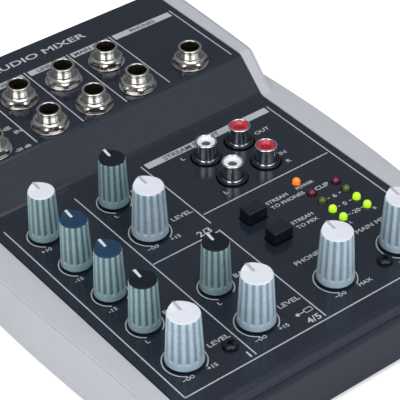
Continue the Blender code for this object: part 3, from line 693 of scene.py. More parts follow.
# ---- sockets ------------------------------------------------------------------------------
def jack_profile():
    """From the foot of the plain neck, up the thread, over the rolled rim and down the bore."""
    crest, root, rim = 4.30 * MM, 4.05 * MM, 4.60 * MM
    start, stop, pitch = 2.2 * MM, 6.0 * MM, 0.62 * MM
    z = np.arange(start, stop, pitch / 6)
    wave = (1 + np.cos((z - start) / pitch * TAU)) / 2
    thread = np.column_stack([root + (crest - root) * wave, z])
    neck = np.array([(crest, -0.6 * MM), (crest, start - 0.1 * MM)])
    shoulder = np.array([(root, stop + 0.05 * MM), (4.15 * MM, 6.35 * MM)])
    roll = arc((rim - 0.45 * MM, 7.5 * MM - 0.45 * MM), 0.45 * MM, -60, 90, 10)
    mouth = arc((3.98 * MM, 7.5 * MM - 0.42 * MM), 0.42 * MM, 92, 180, 8)
    bore = np.array([(3.50, 6.4), (3.30, 5.4), (3.24, 4.0), (3.24, 1.0)]) * MM
    return np.concatenate([neck, thread, shoulder, roll, mouth, bore])


class CONSOLE_OT_jacks(bpy.types.Operator):
    """Make the 6.35 mm jacks with their threaded necks and nuts"""

    bl_idname = "console.jacks"
    bl_label = "Jacks"

    def execute(self, context):
        for number, name in enumerate(JACKS):
            x, y = centre_of(f"jack_{name}")
            self.jack(name, x, y)
            self.nut(name, x, y, turn=(number * 0.37) % (TAU / 6))
        return {"FINISHED"}

    def jack(self, name, x, y):
        """Two closed solids: a round cup from the closed foot of the bore to the rim, and a
        rounded block with a blind round hole that the cup stands in."""
        low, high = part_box(f"jack_{name}")
        top = DECK_Z - SHEET - 0.3 * MM
        floor = low.z + 2.1 * MM
        profile = jack_profile() + (0.0, DECK_Z)
        foot = [(0.0, floor - 0.5 * MM), (4.30 * MM, floor - 0.5 * MM)]
        bottom = [(3.24 * MM, floor), (0.0, floor)]
        shape = Shape()
        shape.grid(turned(np.concatenate([foot, profile]), (x, y)), 0, caps=(False, False))
        shape.grid(turned(np.concatenate([profile[-1:], bottom]), (x, y)), 1, caps=(False, False))
        body = block((low.x, low.y, low.z), (high.x, high.y, top), 0.5 * MM)
        ring = circle_like(4.45 * MM) + (x, y)
        well = [np.column_stack([ring, np.full(len(ring), z)]) for z in (top, floor - 0.6 * MM)]
        shape.grid(np.concatenate([body, well]), 2)
        shape.piece(
            f"jack_socket_{name}", [finish("nickel"), finish("bore_dark"), finish("black_moulding")],
            slot="socket_nickel",
            stands_for=[f"jack_{name}"],
        )
        self.springs(name, x, y)

    def springs(self, name, x, y):
        """Two contact springs: bent strips that lean into the bore."""
        path = np.array([(3.05, -1.0), (2.9, -2.4), (2.2, -4.6), (2.75, -6.4), (3.0, -9.0)]) * MM
        t = np.linspace(0, len(path) - 1, 24)
        radial = np.interp(t, np.arange(len(path)), path[:, 0])
        height = DECK_Z + np.interp(t, np.arange(len(path)), path[:, 1])
        shape = Shape()
        for turn in (0.6, 0.6 + math.pi):
            along = np.array([math.cos(turn), math.sin(turn)])
            across = np.array([-along[1], along[0]])
            columns = []
            for out, side in np.array([(0.0, -0.6), (0.0, 0.6), (0.15, 0.6), (0.15, -0.6)]) * MM:
                plan = (x, y) + (radial[:, None] - 0.2 * MM + out) * along + side * across
                columns.append(np.column_stack([plan, height]))
            shape.grid(np.stack(columns, 1))
        shape.piece(f"contact_springs_{name}", [finish("contact_gold")], slot="plated_steel")

    def nut(self, name, x, y, turn):
        """A round washer, and a hexagon blended to a cone above: a corner's radius at angle a is
        the hexagon's, cut back to the chamfer's circle."""
        gap = 0.05 * MM
        low = DECK_Z + gap
        sides = 96
        a = np.arange(sides) * TAU / sides
        flat = 6.2 * MM
        hexagon = flat / np.cos((a - turn) % (TAU / 6) - TAU / 12)
        hexagon = np.minimum(hexagon, 7.0 * MM)
        chamfer = [(6.35, 0.60), (9.0, 0.85), (9.0, 2.15), (6.15, 2.68)]
        rows = [np.full(sides, 4.4 * MM)]
        levels = [0.60 * MM]
        for limit, level in chamfer:
            rows.append(np.minimum(hexagon, limit * MM))
            levels.append(level * MM)
        cone = [(5.8, 2.70), (5.5, 2.80), (5.05, 3.05), (4.80, 3.35), (4.76, 3.95), (4.6, 4.12), (4.4, 4.14)]
        for radius, level in cone:
            rows.append(np.full(sides, radius * MM))
            levels.append(level * MM)
        rows, levels = np.stack(rows), np.array(levels)[:, None] + low
        levels = np.broadcast_to(levels, rows.shape)
        points = np.stack([x + rows * np.cos(a), y + rows * np.sin(a), levels], -1)
        shape = Shape().grid(points, wrap=(True, True))
        ring = fillet([(4.6, 0.0), (7.15, 0.0), (7.15, 0.55), (4.6, 0.55)], (0.12, 0.12), 4) * MM
        shape.grid(turned(ring + (0.0, low), (x, y), sides), wrap=(True, True))
        shape.piece(
            f"jack_nut_{name}", [finish("nickel")], slot="socket_nickel", stands_for=[f"nut_{name}"], sharp=28
        )


def phono_places():
    """Name to centre of the four phono sockets."""
    nodes = sorted(node for node in frame["nodes"] if node.startswith("phono_shell_"))
    return {node.removeprefix("phono_shell_"): centre_of(node) for node in nodes}


class CONSOLE_OT_phonos(bpy.types.Operator):
    """Make the four phono sockets on their black rings"""

    bl_idname = "console.phonos"
    bl_label = "Phono sockets"

    def execute(self, context):
        low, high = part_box("phono_block")
        top = CONTROL_Z - SHEET - 0.3 * MM
        base = Shape().grid(block(low, (high.x, high.y, top), 0.6 * MM))
        for name, (x, y) in phono_places().items():
            ring = fillet(
                [(4.15, -1.6), (5.5, -1.6), (5.5, 0.95), (4.75, 0.95), (4.6, 0.45), (4.15, 0.45)],
                (0.1, 0.35, 0.3, 0.15), 6,
            )
            base.grid(turned(ring * MM + (0.0, CONTROL_Z), (x, y)), wrap=(True, True))
            self.shell(name, x, y)
            self.insert(name, x, y)
        base.piece("phono_base", [finish("black_moulding")], slot="socket_black", stands_for=["phono_block"])
        return {"FINISHED"}

    def shell(self, name, x, y):
        """A thin drawn tube: a flared foot, a plain wall and a rolled lip."""
        outer = [(4.10, 0.30), (4.10, 0.75), (3.85, 1.0), (3.80, 1.3), (3.80, 6.35)]
        lip = arc((3.77, 7.20), 0.40, -70, 120, 12)
        inner = [(3.42, 7.30), (3.40, 7.0), (3.40, 0.30)]
        profile = np.concatenate([outer, lip, inner]) * MM + (0.0, CONTROL_Z)
        Shape().grid(turned(profile, (x, y)), wrap=(True, True)).piece(
            f"phono_sleeve_{name}", [finish("bright_chrome")], slot="socket_nickel",
            stands_for=[f"phono_shell_{name}"],
        )

    def insert(self, name, x, y):
        """The coloured insulator: a dished funnel round the centre contact."""
        rim = arc((2.94, 6.84), 0.40, 0, 120, 7)
        dish = [(2.45, 6.85), (2.0, 6.55), (1.72, 6.25), (1.62, 5.9)]
        well = [(1.6, 4.2), (0.0, 4.2)]
        body = [(0.0, 0.0), (3.34, 0.0), (3.34, 6.8)]
        outside = np.concatenate([body, rim, dish]) * MM + (0.0, CONTROL_Z + 0.3 * MM)
        inside = np.concatenate([dish[-1:], well]) * MM + (0.0, CONTROL_Z + 0.3 * MM)
        colour_name = "insert_red" if name.endswith("right") else "insert_white"
        # A white insert's well is painted grey as shade in the hole; a red insert's well stays red.
        deep = "insert_red" if name.endswith("right") else "insert_shade"
        shape = Shape().grid(turned(outside, (x, y)), caps=(False, False))
        shape.grid(turned(inside, (x, y)), 1, caps=(False, False))
        shape.piece(f"phono_insert_{name}", [finish(colour_name), finish(deep)], slot=colour_name)
        tube = fillet([(1.2, 4.3), (1.5, 4.3), (1.5, 5.4), (1.2, 5.4)], (0.05, 0.1), 4)
        Shape().grid(turned(tube * MM + (0.0, CONTROL_Z + 0.3 * MM), (x, y), 24), wrap=(True, True)).piece(
            f"phono_contact_{name}", [finish("nickel")], slot="socket_nickel"
        )


class CONSOLE_OT_microphone_socket(bpy.types.Operator):
    """Make the three-pole microphone socket with its latch"""

    bl_idname = "console.microphone_socket"
    bl_label = "Microphone socket"

    def execute(self, context):
        x, y = centre_of("xlr_socket")
        low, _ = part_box("xlr_socket")
        face = DECK_Z + 2.2 * MM
        shell = fillet(
            [(11.8, low.z / MM), (11.8, DECK_Z / MM + 0.15), (13.2, DECK_Z / MM + 0.15), (13.2, face / MM),
             (10.6, face / MM), (9.8, face / MM - 0.8), (9.8, face / MM - 12.0), (8.0, face / MM - 12.0),
             (8.0, face / MM - 0.8), (0.0, face / MM - 0.8)],
            (0.05, 0.1, 0.7, 0.3, 0.3, 0.1, 0.1, 0.5), 6,
        )
        profile = np.concatenate([[(0.0, low.z / MM)], shell])
        socket = Shape().grid(turned(profile * MM, (x, y), 72), caps=(False, False)).piece(
            "microphone_socket", [finish("black_moulding")], slot="socket_black", stands_for=["xlr_socket"]
        )
        holes, contacts = Shape(), Shape()
        for degrees in (90, 210, 330):
            a = math.radians(degrees)
            centre = (x + 4.9 * MM * math.cos(a), y + 4.9 * MM * math.sin(a))
            holes.grid(turned([(1.55 * MM, face - 9 * MM), (1.55 * MM, face + MM)], centre, 24))
            tube = fillet([(1.15, -8.8), (1.45, -8.8), (1.45, -1.3), (1.15, -1.3)], (0.05, 0.1), 4)
            contacts.grid(turned(tube * MM + (0.0, face), centre, 24), wrap=(True, True))
        carve(socket, holes)
        shade(socket, 30)
        contacts.piece("microphone_contacts", [finish("contact_gold")], slot="plated_steel")
        near = (x - 2.4 * MM, y + 9.9 * MM, face - 6 * MM)
        far = (x + 2.4 * MM, y + 12.4 * MM, face + 0.25 * MM)
        latch = Shape().grid(block(near, far, 0.4 * MM))
        latch.piece("microphone_latch", [finish("nickel")], slot="socket_nickel")
        return {"FINISHED"}


def upright(points):
    """Turns a grid built along Z so that it is built along Y: (x, y, z) to (x, z, y)."""
    return points[..., [0, 2, 1]]


def stack(outlines, levels):
    """Closed 2D outlines of one length, set at levels along Z."""
    return np.stack([np.column_stack([line, np.full(len(line), z)]) for line, z in zip(outlines, levels)])


def rear_face(node):
    """A rear socket's box, and the middle and half size of its face in (x, z)."""
    low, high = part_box(node)
    centre = np.array([(low.x + high.x) / 2, (low.z + high.z) / 2])
    half = np.array([(high.x - low.x) / 2, (high.z - low.z) / 2])
    return low, high, centre, half


class CONSOLE_OT_rear_sockets(bpy.types.Operator):
    """Make the data socket and the power inlet in the rear apron"""

    bl_idname = "console.rear_sockets"
    bl_label = "Rear sockets"

    def execute(self, context):
        self.data_socket()
        self.power_inlet()
        return {"FINISHED"}

    def data_socket(self):
        """A folded steel shell round a square mouth, with a contact tongue."""
        low, high, centre, half = rear_face("usb_socket")
        outer = rounded_rectangle(half[0], half[1], 0.8 * MM) + centre
        mouth = rounded_rectangle(4.6 * MM, 4.2 * MM, 0.9 * MM) + centre
        inner = rounded_rectangle(4.3 * MM, 4.0 * MM, 0.7 * MM) + centre
        levels = [low.y, high.y - 0.2 * MM, high.y, high.y, high.y - 0.5 * MM, high.y - 9 * MM]
        soft = rounded_rectangle(half[0] - 0.2 * MM, half[1] - 0.2 * MM, 0.7 * MM) + centre
        grid = upright(stack([outer, outer, soft, mouth, inner, inner], levels))
        Shape().grid(grid).piece(
            "data_socket_shell", [finish("plated_steel")], slot="plated_steel", stands_for=["usb_socket"]
        )
        near = (centre[0] - 2.8 * MM, high.y - 8.9 * MM, centre[1] - 1.6 * MM)
        far = (centre[0] + 2.8 * MM, high.y - 1.0 * MM, centre[1] + 1.6 * MM)
        tongue = Shape().grid(block(near, far, 0.35 * MM))
        tongue.piece("data_socket_tongue", [finish("black_moulding")], slot="socket_black")
        strips = Shape()
        for z in (near[2] - 0.08 * MM, far[2] - 0.12 * MM):
            for x in (-1.25 * MM, 1.25 * MM):
                start = (centre[0] + x - 0.5 * MM, near[1] + 0.5 * MM, z)
                opposite = (start[0] + 1.0 * MM, far[1] - 0.8 * MM, z + 0.2 * MM)
                strips.grid(block(start, opposite, 0.06 * MM, 3))
        strips.piece("data_socket_contacts", [finish("contact_gold")], slot="plated_steel")

    def power_inlet(self):
        """A black block whose face blends from a rounded square to the round mouth."""
        low, high, centre, half = rear_face("power_inlet")
        steps = 9
        outer = rounded_rectangle(half[0], half[1], 0.6 * MM, steps) + centre
        soft = rounded_rectangle(half[0] - 0.3 * MM, half[1] - 0.3 * MM, 0.5 * MM, steps) + centre
        mouth = circle_like(3.4 * MM, steps) + centre
        bore = circle_like(3.1 * MM, steps) + centre
        levels = [low.y, high.y - 0.3 * MM, high.y, high.y, high.y - 0.4 * MM, high.y - 9.4 * MM]
        grid = upright(stack([outer, outer, soft, mouth, bore, bore], levels))
        Shape().grid(grid).piece(
            "power_inlet_body", [finish("black_moulding")], slot="socket_black", stands_for=["power_inlet"]
        )
        profile = np.array([(0.0, -9.4), (0.95, -9.4), (0.95, -1.6), (0.6, -1.0), (0.0, -0.9)]) * MM
        pin = Shape().grid(upright(turned(profile + (0.0, high.y), centre, 24)), caps=(False, False))
        pin.piece("power_inlet_pin", [finish("nickel")], slot="socket_nickel")


# ---- lamps --------------------------------------------------------------------------------
def lamp_places():
    """(x, y, kind) for the power lamp and for both meter columns, from the rear to the front."""
    low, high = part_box("led_array")
    margin, pitch = 2.6 * MM, 5.68 * MM
    first, last = low.x + margin, high.x - margin
    front = low.y + margin
    places = [(first, high.y - margin, "amber")]
    for x in (first, last):
        for row, kind in enumerate(("lit", "lit", "olive", "clip")):
            places.append((x, front + row * pitch, kind))
    return places


class CONSOLE_OT_lamps(bpy.types.Operator):
    """Make the domed lamps and the spacer that holds them"""

    bl_idname = "console.lamps"
    bl_label = "Lamps"

    def execute(self, context):
        low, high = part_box("led_array")
        spacer = Shape().grid(block(low, (high.x, high.y, CONTROL_Z - 3.8 * MM), 0.4 * MM))
        spacer.piece("lamp_spacer", [finish("black_moulding")], slot="socket_black", stands_for=["led_array"])
        shapes = {kind: Shape() for kind in ("amber", "lit", "olive", "clip")}
        for x, y, kind in lamp_places():
            barrel = np.array([(0.0, -3.6), (1.5, -3.6), (1.5, 0.35)])
            dome = arc((0.0, 0.4), 1.5, 2, 90, 10)
            profile = np.concatenate([barrel, dome]) * MM + (0.0, CONTROL_Z)
            shapes[kind].grid(turned(profile, (x, y), 32), caps=(False, False))
        for kind, shape in shapes.items():
            slot = {"amber": "lamp_amber", "clip": "lamp_red"}.get(kind, "lamp_lens")
            shape.piece(f"lamps_{kind}", [finish(f"lamp_{kind}")], slot=slot)
        return {"FINISHED"}


# ---- knobs and keys -----------------------------------------------------------------------
def knob_grid(foot, top, height, flutes, depth):
    """A tapered wall whose grooves are capsules that end in a half circle above the foot.

    At angle a and height z the radius is the taper less depth times a mask. The mask falls off
    with the distance to the nearest groove's centre line, which ends at the groove's lower end.
    Returns the points and the mask, which the knob finishes also use to paint shade into the grooves.
    """
    sides = flutes * 12
    a = (np.arange(sides) + 0.5) * TAU / sides
    lift, groove_end, rim = 0.8 * MM, 4.3 * MM, 0.5 * MM
    wall_z = np.concatenate([
        np.linspace(lift + 0.3 * MM, 2.6 * MM, 4),
        np.linspace(2.9 * MM, 6.2 * MM, 16),
        np.linspace(7.2 * MM, height - rim, 8),
    ])
    taper = foot + (top - foot) * (wall_z - lift) / (height - lift)
    spacing = TAU / flutes
    offset = np.abs(a % spacing - spacing / 2)
    lateral = offset[None, :] * taper[:, None]
    below = np.maximum(groove_end - wall_z, 0.0)[:, None]
    half = taper[:, None] * spacing / 2
    mask = 1 - smoothstep(half * 0.22, half * 0.66, np.hypot(lateral, below))
    wall = taper[:, None] - depth * mask
    turn = np.radians((30, 60, 90))[:, None]
    crown = wall[-1] - rim * (1 - np.cos(turn)) * 0.9
    crown_z = height - rim + rim * np.sin(turn[:, 0])
    bore, stop, seat = 3.35 * MM, 14.3 * MM, height - 0.45 * MM
    flat = np.ones((1, sides))
    inside = [flat * 0.0, flat * bore, flat * bore, wall[:1] - 0.3 * MM]
    rows = np.concatenate([*inside, wall, crown, flat * top * 0.81, flat * top * 0.81, flat * 0.0])
    levels = np.concatenate([[stop, stop, lift, lift], wall_z, crown_z, [height, seat, seat]])[:, None]
    # The painted groove shade fades out over the rounded crown.
    fading = mask[-1:] * [[0.8], [0.5], [0.2]]
    recess = np.concatenate([np.zeros((4, sides)), mask, fading, np.zeros((3, sides))])
    return np.stack([rows * np.cos(a), rows * np.sin(a), np.broadcast_to(levels, rows.shape)], -1), recess


def nose(radius, angle, reach):
    """How far the cap rises at a place on it: its most at the rim under the pointer, less as the
    square of the distance from the middle, and as a bell curve round the rim."""
    away = (angle - TAU / 4 + math.pi) % TAU - math.pi
    return NOSE_RISE * np.clip(radius / reach, 0, 1) ** 2 * np.exp(-((away / 0.52) ** 2))


def cap_grid(reach, height):
    """A disc with a rounded rim and a raised nose at +Y, as a grid of radius and angle."""
    sides, edge, plug = 84, 0.36 * MM, reach * 0.76
    a = np.arange(sides) * TAU / sides
    turn = np.radians(np.linspace(0, 90, 7))
    inward = np.array([0.1, 0.3, 0.5, 0.7, 0.85, 1.0])
    radius = np.concatenate([
        [0.0, plug, plug, reach - 0.06 * MM],
        reach - edge + edge * np.cos(turn),
        (reach - edge) * (1 - inward),
    ])
    level = np.concatenate([
        np.array([-0.80, -0.80, -0.40, -0.40]) * MM, -edge + edge * np.sin(turn), 0.12 * MM * inward
    ])
    rise = nose(radius[:, None], a[None, :], reach)
    rise[:4] = 0.0
    rise[4:7] *= np.array([[0.15], [0.5], [0.85]])
    x, y = radius[:, None] * np.cos(a), radius[:, None] * np.sin(a)
    return np.stack([x, y, height + level[:, None] - 0.12 * MM + rise], -1)


def pointer_grid(reach, height, width, drop):
    """A bar with a squarish section, carried along a path that climbs the nose to the rim, turns
    over it and runs down the wall. Both ends draw in by a quarter circle."""
    climb = np.linspace(0.20, 0.93, 12)[:, None] * reach
    rise = nose(climb, TAU / 4, reach)
    ramp = np.concatenate([climb, height - 0.20 * MM + rise], 1)
    over = [(reach + 0.10 * MM, height + NOSE_RISE - 0.55 * MM), (reach + 0.30 * MM, height - drop)]
    path = np.concatenate([ramp, over])
    lengths = np.concatenate([[0], np.cumsum(np.linalg.norm(np.diff(path, axis=0), axis=1))])
    s = np.linspace(0, lengths[-1], 44)
    centre = np.stack([np.interp(s, lengths, path[:, 0]), np.interp(s, lengths, path[:, 1])], -1)
    along = np.gradient(centre, axis=0)
    along /= np.linalg.norm(along, axis=1, keepdims=True)
    normal = np.stack([-along[:, 1], along[:, 0]], -1)
    end = np.clip(np.minimum(s, lengths[-1] - s) / (width * 0.5), 0, 1)
    shrink = np.sqrt(1 - (1 - end) ** 2)[:, None]
    t = (np.arange(20) + 0.5) * TAU / 20
    across = np.sign(np.cos(t)) * np.abs(np.cos(t)) ** 0.6 * width / 2
    out = np.sign(np.sin(t)) * np.abs(np.sin(t)) ** 0.6 * 0.34 * MM
    x = across[None, :] * shrink
    radial = centre[:, 0, None] + normal[:, 0, None] * out * shrink
    z = centre[:, 1, None] + normal[:, 1, None] * out * shrink
    return np.stack([x, radial, z], -1)


class CONSOLE_OT_knobs(bpy.types.Operator):
    """Make the fluted knobs with their caps and pointers"""

    bl_idname = "console.knobs"
    bl_label = "Knobs"

    def execute(self, context):
        for name, (x, y, z) in KNOB_AXES.items():
            self.knob(name, np.array([x, y, z]), name in LARGE_KNOBS)
        return {"FINISHED"}

    def knob(self, name, axis, large):
        low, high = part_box(f"knob_{name}")
        foot = (high.x - low.x) / 2
        height = high.z - CONTROL_Z - 1.1 * MM
        top = foot * (0.85 if large else 0.875)
        body = KNOB_BODIES[name]
        slot = "level_knob_grey" if large else "knob_grey"
        plastic = "level_knob_plastic" if large else "knob_plastic"
        points, recess = knob_grid(foot, top, height - 0.55 * MM, sizes().flutes, sizes().flute_depth)
        # The groove mask rides on the wall, where the knob finish paints shade into the flutes.
        wall = Shape().grid(points + axis, caps=(False, False), recess=recess)
        wall.piece(f"knob_body_{name}", [finish(plastic)], body, slot, [f"knob_{name}"], sharp=60)
        kind = "white" if large else CAPS[name]
        reach = top * 0.965
        face = Shape().grid(cap_grid(reach, height) + axis, caps=(False, False))
        face.piece(f"knob_cap_{name}", [finish(f"cap_{kind}")], body, f"cap_{kind}")
        drop = 3.4 * MM if large else 2.4 * MM
        bar = Shape().grid(pointer_grid(reach, height, sizes().pointer_width, drop) + axis)
        # On a white cap the white pointer gets the grey finish, as painted shade.
        shade_name = "pointer_grey" if kind == "white" else "pointer_white"
        bar.piece(f"knob_pointer_{name}", [finish(shade_name)], body, "cap_white")


class CONSOLE_OT_keys(bpy.types.Operator):
    """Make the two push keys"""

    bl_idname = "console.keys"
    bl_label = "Push keys"

    def execute(self, context):
        for name in ("stream_phones", "stream_mix"):
            low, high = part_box(f"button_{name}")
            shape = Shape()
            cap_low = CONTROL_Z - 1.8 * MM
            key = block((low.x, low.y, cap_low), high, 0.45 * MM, 6)
            centre, half = (low + high) / 2, (high - low) / 2
            border, dip, stem = 1.3 * MM, 0.16 * MM, 1.4 * MM
            inner = rounded_rectangle(half.x - border, half.y - border, 0.5 * MM, 6)
            floor = np.column_stack([inner + (centre.x, centre.y), np.full(len(inner), high.z - dip)])
            shape.grid(np.concatenate([key, floor[None]]))
            near = (centre.x - stem, centre.y - stem, low.z)
            far = (centre.x + stem, centre.y + stem, cap_low + 0.3 * MM)
            shape.grid(block(near, far, 0.2 * MM))
            shape.piece(
                f"key_cap_{name}", [finish("button_plastic")], f"key_{name}", "button_black",
                [f"button_{name}"],
            )
        return {"FINISHED"}


# ---- fasteners and feet -------------------------------------------------------------------
def screw_head(x, y, z, radius, height, up=1.0):
    """A pan head: flat underneath, with a superellipse crown."""
    t = np.linspace(0, math.pi / 2, 12)
    crown = np.column_stack([radius * np.cos(t) ** 0.6, height * (0.25 + 0.75 * np.sin(t) ** 0.9)])
    profile = np.concatenate([[(0.0, 0.0), (radius, 0.0)], crown])
    return turned(profile * (1, up) + (0.0, z), (x, y), 40)


def cross_cutter(x, y, top, reach, width, depth):
    """Two crossed wedges that narrow downwards."""
    cutter = Shape()
    half = np.array([
        (reach, -width), (reach, width), (width, width), (width, reach), (-width, reach), (-width, width)
    ])
    arm = np.concatenate([half, -half])
    levels = (top + depth * 0.5, top, top - depth)
    shares = (1.05, 1.0, 0.45)
    cutter.grid(stack([arm * share + (x, y) for share in shares], levels))
    return cutter


class CONSOLE_OT_fasteners(bpy.types.Operator):
    """Make the panel's two black screws, the tray's screws and the four feet"""

    bl_idname = "console.fasteners"
    bl_label = "Screws and feet"

    def execute(self, context):
        for side in ("left", "right"):
            x, y = centre_of(f"panel_screw_{side}")
            low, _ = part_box(f"panel_screw_{side}")
            head = screw_head(x, y, CONTROL_Z + 0.05 * MM, 2.85 * MM, 1.7 * MM)
            core = 1.4 * MM
            shank = [(0.0, low.z), (core, low.z), (core, CONTROL_Z), (0.0, CONTROL_Z)]
            shape = Shape().grid(head, caps=(False, False))
            shape.grid(turned(shank, (x, y), 24), caps=(False, False))
            screw = shape.piece(
                f"deck_screw_{side}", [finish("black_steel")], slot="screw_black",
                stands_for=[f"panel_screw_{side}"],
            )
            carve(screw, cross_cutter(x, y, CONTROL_Z + 1.75 * MM, 1.55 * MM, 0.34 * MM, 1.1 * MM))
            shade(screw, 35)
        self.feet()
        self.tray_screws()
        return {"FINISHED"}

    def feet(self):
        """Four rubber rings with a rounded outer edge."""
        for front in ("front", "rear"):
            for hand in ("left", "right"):
                node = f"foot_{front}_{hand}"
                low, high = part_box(node)
                radius, top = (high.x - low.x) / 2 / MM, high.z / MM
                corners = [
                    (1.2, top), (radius, top), (radius, 0.0),
                    (radius - 1.6, 0.0), (radius - 2.0, 0.35), (1.2, 0.35),
                ]
                profile = fillet(corners, (0.2, 0.6, 0.2, 0.2), 6)
                Shape().grid(turned(profile * MM, centre_of(node)), wrap=(True, True)).piece(
                    f"rubber_{node}", [finish("soft_rubber")], slot="foot_rubber", stands_for=[node]
                )

    def tray_screws(self):
        """Six small screws under the tray, heads down."""
        low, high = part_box("base_tray")
        for front, y in (("front", low.y + 8 * MM), ("middle", 0.0), ("rear", high.y - 8 * MM)):
            for hand, x in (("left", -0.0570), ("right", 0.0570)):
                head = screw_head(x, y, low.z - 0.02 * MM, 2.6 * MM, 1.3 * MM, up=-1.0)
                screw = Shape().grid(head, caps=(False, False)).piece(
                    f"tray_screw_{front}_{hand}", [finish("black_steel")], slot="screw_black"
                )
                carve(screw, cross_cutter(x, y, low.z - 1.35 * MM, 1.4 * MM, 0.3 * MM, -0.8 * MM))
                shade(screw, 35)


# ---- printing -----------------------------------------------------------------------------
def lettering(text, capital, width=1.0):
    """Blender's own font as thin solid letters: scaled so that an H is one capital high, and
    by width along the line. Returns points whose origin is the line's left end, and faces."""
    curve = bpy.data.curves.new("lettering", "FONT")
    curve.body = text
    curve.resolution_u = 3
    curve.extrude = 0.5
    curve.offset = LETTER_WEIGHT
    carrier = bpy.data.objects.new("lettering", curve)
    bpy.context.scene.collection.objects.link(carrier)
    bpy.context.view_layer.update()
    made = bpy.data.meshes.new_from_object(carrier.evaluated_get(bpy.context.evaluated_depsgraph_get()))
    points = np.empty(len(made.vertices) * 3)
    made.vertices.foreach_get("co", points)
    points = points.reshape(-1, 3)
    faces = [list(face.vertices) for face in made.polygons]
    bpy.data.meshes.remove(made)
    bpy.data.objects.remove(carrier)
    bpy.data.curves.remove(curve)
    scale = capital / CAPITAL_EMS
    points[:, 0] = (points[:, 0] - points[:, 0].min()) * scale * width
    points[:, 1] *= scale
    points[:, 2] = points[:, 2] * INK_HEIGHT
    return points, faces


class Printing:
    """Words and rules gathered for one ink."""

    def __init__(self):
        self.shape = Shape()

    def word(self, text, x, y, z, capital, align="left", width=1.0):
        """A word whose letters are centred on y, and which starts at x or is centred on it."""
        points, faces = lettering(text, capital, width)
        length = points[:, 0].max()
        start = {"left": 0.0, "centre": -length / 2}[align]
        self.shape.mesh(points + (x + start, y - capital / 2, z + INK_HEIGHT / 2), faces)

    def rule(self, points, z, width=None, closed=False):
        """A band of ink along points. A closed one joins its last point to its first."""
        band = ribbon(points, width or sizes().rule_width, z, closed=closed)
        self.shape.grid(band, wrap=(closed, True))


